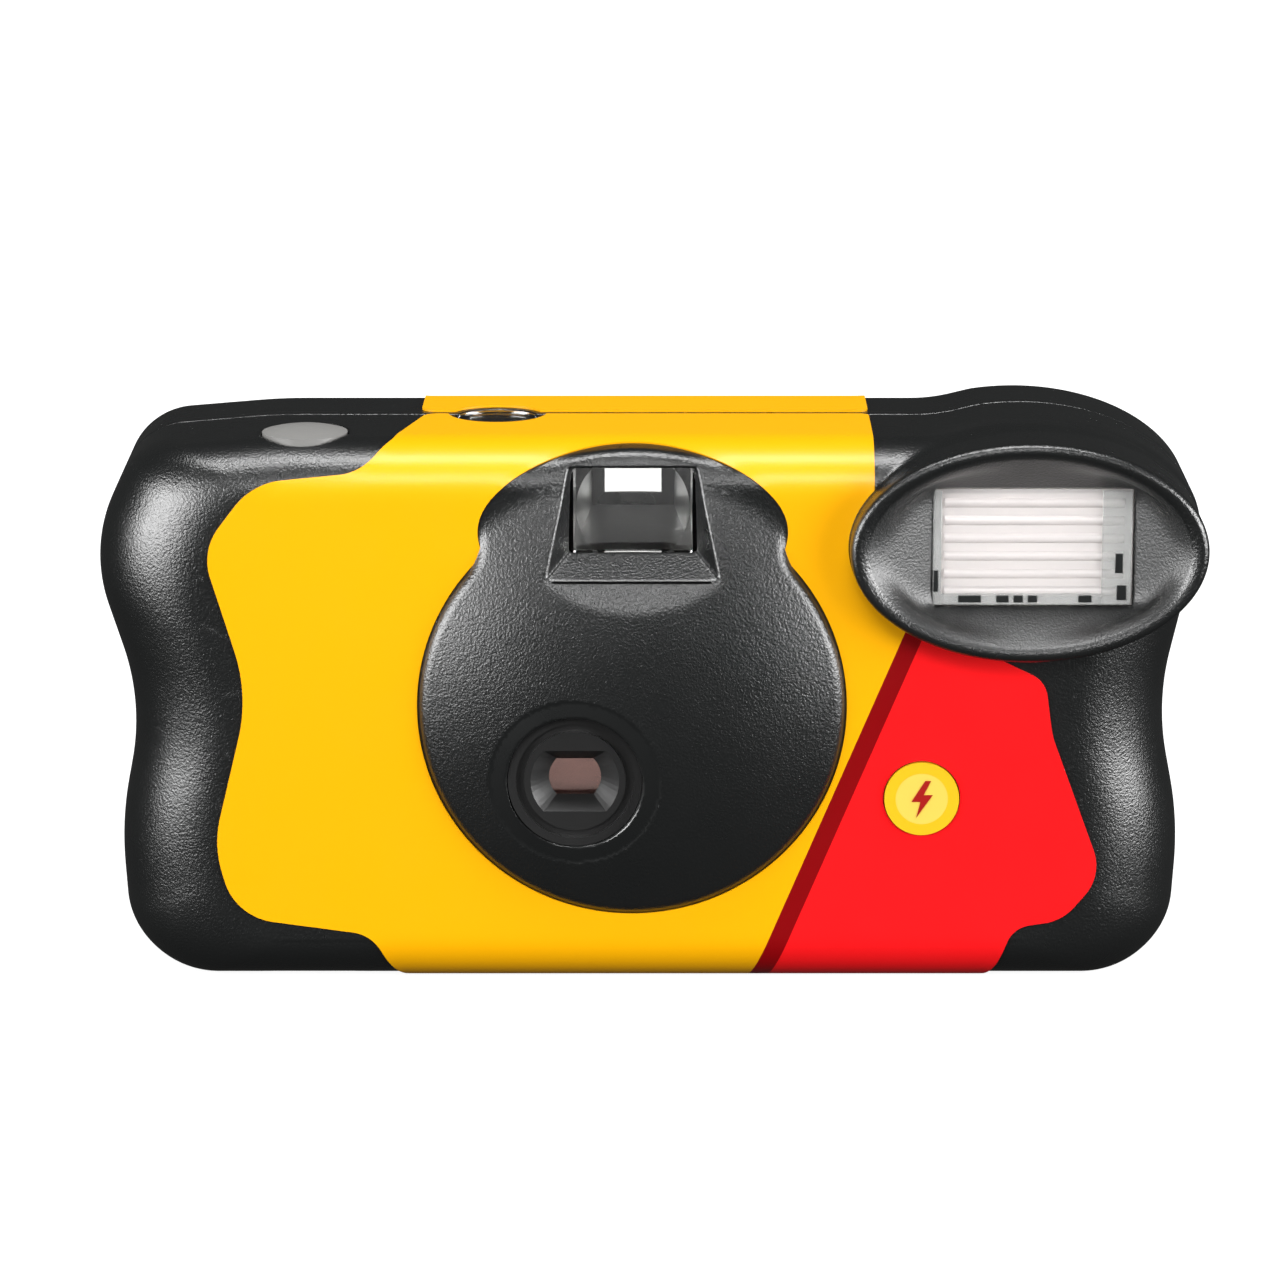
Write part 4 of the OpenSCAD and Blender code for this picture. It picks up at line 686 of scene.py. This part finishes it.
def label_material(name, printed):
    """Coated yellow paper; on the front a slanted red field with a darker stripe along its edge."""
    mat = material(name, YELLOW, 0.3, Specular_IOR_Level=0.36)
    if printed:
        x, _, z = axes_of(mat)
        edge = calc(mat, "SUBTRACT", x, calc(mat, "MULTIPLY", z, FIELD_SLANT))
        red = calc(mat, "GREATER_THAN", edge, FIELD_X * MM)
        dark = calc(mat, "MULTIPLY", calc(mat, "GREATER_THAN", edge, STRIPE_X * MM),
                    calc(mat, "LESS_THAN", edge, FIELD_X * MM))
        color = mixed(mat, dark, mixed(mat, red, YELLOW, RED), DARK_RED)
        mat.node_tree.links.new(color, shader(mat).inputs["Base Color"])
    return surface(mat, 0.9, 0.003, rough=(0.3, 0.36))


def button_material():
    mat = material("button_yellow", YELLOW, 0.3)
    x, _, z = axes_of(mat)
    disc = calc(mat, "LESS_THAN", far_from(mat, x, z, CHARGE_X, CHARGE_Z), BUTTON_DISC_R * MM)
    mat.node_tree.links.new(mixed(mat, disc, BUTTON_RIM, BUTTON_DISC), shader(mat).inputs["Base Color"])
    return surface(mat, 0.8, 0.006, rough=(0.25, 0.33))


def dial_material():
    """White dial with a ring of plain tick marks."""
    mat = material("dial_white", DIAL_WHITE, 0.45)
    x, y, _ = axes_of(mat)
    dx, dy = calc(mat, "SUBTRACT", x, DIAL_X * MM), calc(mat, "SUBTRACT", y, DIAL_Y * MM)
    turn = calc(mat, "MULTIPLY", calc(mat, "ARCTAN2", dy, dx), DIAL_TICKS / (2 * math.pi))
    tick = calc(mat, "LESS_THAN", calc(mat, "FRACT", turn), TICK_SHARE)
    r = calc(mat, "SQRT", calc(mat, "ADD", calc(mat, "MULTIPLY", dx, dx), calc(mat, "MULTIPLY", dy, dy)))
    band = calc(mat, "MULTIPLY", calc(mat, "GREATER_THAN", r, TICK_IN * MM), calc(mat, "LESS_THAN", r, TICK_OUT * MM))
    color = mixed(mat, calc(mat, "MULTIPLY", tick, band), DIAL_WHITE, DIAL_INK)
    mat.node_tree.links.new(color, shader(mat).inputs["Base Color"])
    return surface(mat, 0.6, 0.004, rough=(0.4, 0.5))


def metal(name, color, rough):
    mat = material(name, color, rough, Metallic=1.0)
    return surface(mat, 0.5, 0.004, rough=(rough * 0.8, rough * 1.3), patch=3.0)


def plastic(name, color, rough):
    return surface(material(name, color, rough), 0.4, 0.01, rough=(rough * 0.85, rough * 1.15))


def clear(name, color, rough, **more):
    mat = material(name, color, rough, Transmission_Weight=1.0, IOR=ACRYLIC, **more)
    return surface(mat, 1.5, 0.001, strength=0.4)


def paint(obj, mat):
    obj.data.materials.clear()
    obj.data.materials.append(mat)


def paint_nodes():
    """Materials of the CAD nodes that stay in sight or inside the case."""
    ring = material("ring_black", (0.008, 0.008, 0.008), 0.3, Specular_IOR_Level=1.0)
    flash = material("flash_clear", (0.93, 0.89, 0.875), 0.2, Transmission_Weight=0.6, IOR=ACRYLIC)
    inside = plastic("frame_plastic", (0.009, 0.008, 0.0075), 0.4)
    window = clear("clear_optic", (0.97, 0.97, 0.96), 0.03)
    steel, copper = metal("spring_steel", (0.62, 0.62, 0.6), 0.3), metal("contact", (0.75, 0.6, 0.38), 0.3)
    lever = plastic("lever_plastic", (0.62, 0.62, 0.58), 0.4)
    looks = {
        inside: ("chassis", "thumbwheel", "cartridge_spool", "supply_spool", "sprocket"),
        window: ("viewfinder_front_lens", "viewfinder_eyepiece", "counter_window"),
        cover_mat: ("film_door",),
        surface(ring, 0.5, 0.01, rough=(0.3, 0.38)): ("lens_retainer",),
        clear("lens_glass", (0.86, 0.62, 0.56), 0.02, Coat_Weight=1.0, Coat_Roughness=0.04): ("taking_lens",),
        surface(flash, 1.5, 0.002): ("flash_window",),
        clear("tube_glass", (1.0, 1.0, 1.0), 0.02): ("flash_tube",),
        metal("reflector", (0.96, 0.94, 0.93), 0.42): ("flash_reflector",),
        plastic("frosted", (0.17, 0.168, 0.162), 0.3): ("shutter_button", "light_pipe"),
        button_material(): ("flash_button",),
        dial_material(): ("counter_dial",),
        lever: ("metering_lever", "high_energy_lever"),
        metal("blade_steel", (0.2, 0.2, 0.21), 0.4): ("shutter_blade",),
        steel: ("blade_spring", "lever_spring", "sync_contact"),
        copper: ("battery_contacts", "charge_contact"),
        metal("cartridge_metal", (0.5, 0.5, 0.5), 0.35): ("cartridge_shell", "cartridge_caps"),
        plastic("film", (0.09, 0.055, 0.04), 0.25): ("film_strip", "film_roll"),
        plastic("board_green", (0.03, 0.16, 0.06), 0.4): ("flash_board",),
        plastic("component", (0.02, 0.02, 0.022), 0.35): ("main_capacitor", "board_components", "trigger_coil"),
        plastic("core", (0.06, 0.05, 0.045), 0.5): ("transformer",),
        metal("cell", (0.55, 0.5, 0.3), 0.3): ("battery",),
        plastic("lamp", (0.8, 0.25, 0.08), 0.25): ("ready_lamp",),
    }
    for mat, names in looks.items():
        for name in names:
            paint(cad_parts[name], mat)


# The covers' skins
PITCH = 0.3
KEPT_FACES = 0.3
cover_mat = cover_material()


def dress(obj, replaced, body, mat):
    """Puts a piece on a body in place of a CAD node."""
    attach(obj, body)
    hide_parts(replaced)
    paint(obj, mat)


SKIN_X, SKIN_LOW, SKIN_TOP = 60, -1, 61.5
dress(field_object("front_cover_skin", front_cover, (-SKIN_X, FRONT_Y - 5.5, SKIN_LOW),
                   (SKIN_X, SEAM_Y + 1, SKIN_TOP), PITCH, KEPT_FACES),
      "front_cover", "case", cover_mat)
dress(field_object("rear_cover_skin", rear_cover, (-SKIN_X, SEAM_Y - 1, SKIN_LOW),
                   (SKIN_X, BACK_Y + 1, SKIN_TOP), PITCH, KEPT_FACES),
      "rear_cover", "case", cover_mat)

# Labels
SEAM_GAP, TOP_ZONE = 0.9, 50
front_wrap = Wrap(FRONT_Y, 1, EDGE_ROLL_D, EDGE_ROLL, SEAM_Y - SEAM_GAP)
rear_wrap = Wrap(BACK_Y, -1, BACK_ROLL, BACK_ROLL, SEAM_Y + SEAM_GAP)


def lifted(wrap, loop):
    return np.stack([loop[:, 0], wrap.along(loop[:, 1])], 1)


def front_label():
    wrap = front_wrap
    corners = [(x, float(wrap.along(np.array(z))), r) for x, z, r in FRONT_LABEL]
    corners = [(LABEL_RIGHT, wrap.end, 1.0)] + corners
    corners += [(left(31.6), float(wrap.along(np.array(58.3))), 4), (left(34.6), wrap.end, 1.6)]
    border = resampled(rounded(corners), LABEL_STEP)
    disc_r, charge_r = DISC_R + LABEL_GAP, CHARGE_R + LABEL_GAP
    head_size, flash_size = (HEAD_A + LABEL_GAP, HEAD_B + LABEL_GAP), (FLASH_A + LABEL_GAP, FLASH_B + LABEL_GAP)
    flash = ring_of(FLASH_X, FLASH_Z, *flash_size, 240)
    flash = lifted(wrap, flash[flash[:, 1] < BODY_H])
    disc = ring_of(DOME_X, DOME_Z, disc_r, disc_r, 240)
    head = lifted(wrap, ring_of(HEAD_X, HEAD_Z, *head_size, 240))
    charge = ring_of(CHARGE_X, CHARGE_Z, charge_r, charge_r)
    counter = counter_loop(COUNTER_GAP)
    counter[:, 1] = wrap.top + wrap.arc[-1] + counter[:, 1] - (FRONT_Y + EDGE_ROLL_D)

    def keep(p):
        x, y, z = wrap.place(p[:, 0], p[:, 1], 0).T
        over = y > FRONT_Y + 5
        ok = in_loop(p, border)
        ok &= (np.hypot(x - DOME_X, z - DOME_Z) > disc_r) | over
        ok &= (oval(x - HEAD_X, z - HEAD_Z, *head_size) > 0) | over
        ok &= oval(x - FLASH_X, z - FLASH_Z, *flash_size) > 0
        ok &= np.hypot(x - CHARGE_X, z - CHARGE_Z) > charge_r
        ok &= (counter_lens(x, y, -COUNTER_GAP) > 0) | (z < TOP_ZONE)
        return ok

    return label_sheet("front_label_sheet", wrap, [border, flash, disc, head, charge, counter], keep)


def counter_loop(grow):
    """Edge of the counter window, as across and depth."""
    r = (COUNTER_W ** 2 + COUNTER_D ** 2) / (4 * COUNTER_D)
    shift = r - COUNTER_D / 2
    r += grow
    half = math.acos(shift / r)
    t = np.linspace(-half, half, 40)
    a = np.stack([COUNTER_X + r * np.sin(t), COUNTER_Y - shift + r * np.cos(t)], 1)
    b = np.stack([COUNTER_X - r * np.sin(t), COUNTER_Y + shift - r * np.cos(t)], 1)
    return np.concatenate([a[:-1], b[:-1]])


def rear_label():
    wrap = rear_wrap
    corners = [(x, float(wrap.along(np.array(z))), r) for x, z, r in REAR_LABEL]
    corners = [(LABEL_RIGHT, wrap.end, 1.0)] + corners + [(left(34.0), wrap.end, 1.6)]
    border = resampled(rounded(corners), LABEL_STEP)
    eye_w, eye_h, lamp_r, thumb_r = EYE_W + 1, EYE_H + 1, 2.1, 7.86
    corners = [(FINDER_X + a * eye_w / 2, FINDER_Z + b * eye_h / 2) for a, b in ((1, 1), (-1, 1), (-1, -1), (1, -1))]
    eye = lifted(wrap, resampled(np.array(corners), LABEL_STEP))
    lamp = lifted(wrap, ring_of(LAMP_X, FINDER_Z, lamp_r, lamp_r))
    t = np.linspace(0, 2 * math.pi, 120, endpoint=False)
    thumb = np.stack([CART_X + SCOOP_HALF * np.sign(np.cos(t)) + thumb_r * np.cos(t),
                      WHEEL_Z + WHEEL_T / 2 + thumb_r * np.sin(t)], 1)
    counter = counter_loop(COUNTER_GAP)
    counter[:, 1] = wrap.top + wrap.arc[-1] + (BACK_Y - BACK_ROLL) - counter[:, 1]

    def keep(p):
        x, y, z = wrap.place(p[:, 0], p[:, 1], 0).T
        ok = in_loop(p, border)
        ok &= (rect(x, z, FINDER_X, FINDER_Z, eye_w, eye_h) > 0) | (y < 8)
        ok &= np.hypot(x - LAMP_X, z - FINDER_Z) > lamp_r
        ok &= (counter_lens(x, y, -COUNTER_GAP) > 0) | (z < TOP_ZONE)
        ok &= ~in_loop(p, thumb)
        return ok

    return label_sheet("rear_label_sheet", wrap, [border, thumb, eye, lamp, counter], keep)


dress(front_label(), "front_label", "case", label_material("label_front", True))
dress(rear_label(), "rear_label", "case", label_material("label_rear", False))
paint_nodes()


def prism(name, shape, y0, y1):
    """A flat shape of the front view, given anticlockwise from the front, drawn out in depth."""
    n = len(shape)
    points = [(x, y0, z) for x, z in shape] + [(x, y1, z) for x, z in shape]
    faces = [tuple(range(n)), tuple(range(2 * n - 1, n - 1, -1))]
    faces += [((i + 1) % n, i, n + i, n + (i + 1) % n) for i in range(n)]
    ob = make_object(name, points, faces)
    ob.data.set_sharp_from_angle(angle=math.radians(30))
    return ob


# Charge mark: a plain bolt moulded on the flash button
BOLT = [(0.35, 2.0), (-1.1, -0.3), (-0.15, -0.3), (-0.55, -2.0), (1.15, 0.45), (0.2, 0.45), (0.95, 2.0)]
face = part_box("flash_button")[0].y / MM
bolt = prism("charge_bolt", [(CHARGE_X + x, CHARGE_Z + z) for x, z in BOLT], face - 0.08, face + 0.2)
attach(bolt, "charge")
paint(bolt, plastic("bolt_red", (0.26, 0.008, 0.006), 0.3))

# Moulded frame of the flash window, with the clips along its lower edge
FLASH_FRAME = [(29.6, 41.5, 30.5, 53.7), (47.3, 41.5, 50.4, 53.7), (30.5, 41.5, 47.3, 42.7)]
CLIP_SPANS = ((32.3, 34.7), (36.3, 37.6), (38.1, 39.1), (39.6, 40.6), (44.9, 46.3))
FLASH_CLIPS = [(a, 41.75, b, 42.5) for a, b in CLIP_SPANS]
FLASH_CLIPS += [(48.7, 44.9, 49.5, 47.0), (48.9, 42.0, 49.9, 43.6), (29.7, 42.9, 30.2, 45.2)]
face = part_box("flash_window")[0].y / MM


def bars(name, rects, y0, y1, mat):
    """Upright oblongs of the front view, drawn out in depth."""
    points, faces = [], []
    for x0, z0, x1, z1 in rects:
        n = len(points)
        points += [(x, y, z) for y in (y0, y1) for x, z in ((x0, z0), (x1, z0), (x1, z1), (x0, z1))]
        sides = [(0, 1, 2, 3), (7, 6, 5, 4), (0, 4, 5, 1), (1, 5, 6, 2), (2, 6, 7, 3), (3, 7, 4, 0)]
        faces += [tuple(n + i for i in f) for f in sides]
    ob = make_object(name, points, faces)
    ob.data.set_sharp_from_angle(angle=math.radians(30))
    edge = ob.modifiers.new("edge", "BEVEL")
    edge.width, edge.segments = 0.06 * MM, 2
    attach(ob, "case")
    paint(ob, mat)


frame_clear = material("frame_clear", (0.74, 0.75, 0.74), 0.1, Transmission_Weight=0.75, IOR=ACRYLIC)
bars("flash_frame", FLASH_FRAME, face - 0.12, face + 0.3, surface(frame_clear, 1.2, 0.004))
bars("flash_clips", FLASH_CLIPS, face - 0.2, face + 0.2, plastic("clip_dark", (0.012, 0.013, 0.013), 0.3))


# Stage: pale floor, soft light and the photograph's view. Lights are given as name, place in metres, size, power
# and whether they show as highlights.
LIGHTS = [
    ("front", (0.0, -0.63, 0.5), (0.42, 0.2), 3.1, False),
    ("front_small", (0.0, -0.63, 0.4), (0.13, 0.2), 1.15, True),
    ("left", (-0.62, -0.42, 0.15), (0.6, 0.32), 7.4, True),
    ("right", (0.66, -0.35, 0.15), (0.6, 0.32), 8.7, True),
    ("over", (0.0, -0.12, 0.75), (0.6, 0.2), 5.2, True),
    ("back_left", (-0.4, 0.7, 0.25), (0.5, 0.4), 8.5, False),
    ("back_right", (0.4, 0.7, 0.25), (0.5, 0.4), 8.5, False)]
LIGHT_AIM = (0, 0, 0.03)
IMAGE_PX, PX_PER_MM, SENSOR = 1280, 9.53, 36
VIEW_DIST, VIEW_UP, VIEW_AIM = 560.0, 13.8, (-1.05, FRONT_Y, 37.85)


def light(name, place, size, power, gloss):
    data = bpy.data.lights.new(name, "AREA")
    data.shape = "RECTANGLE"
    data.size, data.size_y = size
    data.energy = power
    ob = bpy.data.objects.new(name, data)
    bpy.context.collection.objects.link(ob)
    ob.visible_glossy = gloss
    ob.location = place
    ob.rotation_euler = (Vector(LIGHT_AIM) - Vector(place)).to_track_quat("-Z", "Y").to_euler()


def view():
    cam = bpy.data.cameras.new("camera")
    cam.sensor_width = SENSOR
    cam.lens = SENSOR * VIEW_DIST / (IMAGE_PX / PX_PER_MM)
    ob = bpy.data.objects.new("camera", cam)
    bpy.context.collection.objects.link(ob)
    up = math.radians(VIEW_UP)
    ob.location = (Vector(VIEW_AIM) + VIEW_DIST * Vector((0, -math.cos(up), math.sin(up)))) * MM
    ob.rotation_euler = (math.pi / 2 - up, 0, 0)
    bpy.context.scene.camera = ob


def stage():
    mesh = bpy.data.meshes.new("floor")
    s = 3.0
    mesh.from_pydata([(-s, -s, 0), (s, -s, 0), (s, s, 0), (-s, s, 0)], [], [(0, 1, 2, 3)])
    floor = bpy.data.objects.new("floor", mesh)
    bpy.context.collection.objects.link(floor)
    floor.location.z = -0.0002
    pale = material("floor_pale", (0.2, 0.2, 0.2), 0.9, Emission_Color=(1, 1, 1, 1), Emission_Strength=0.92)
    mesh.materials.append(pale)
    floor.visible_glossy = floor.visible_diffuse = False
    world = bpy.data.worlds.new("studio")
    bpy.context.scene.world = world
    world.use_nodes = True
    bg = world.node_tree.nodes["Background"]
    bg.inputs["Color"].default_value = (1, 1, 1, 1)
    bg.inputs["Strength"].default_value = 0.04
    for row in LIGHTS:
        light(*row)
    bpy.context.scene.view_settings.view_transform = "Standard"
    view()


stage()
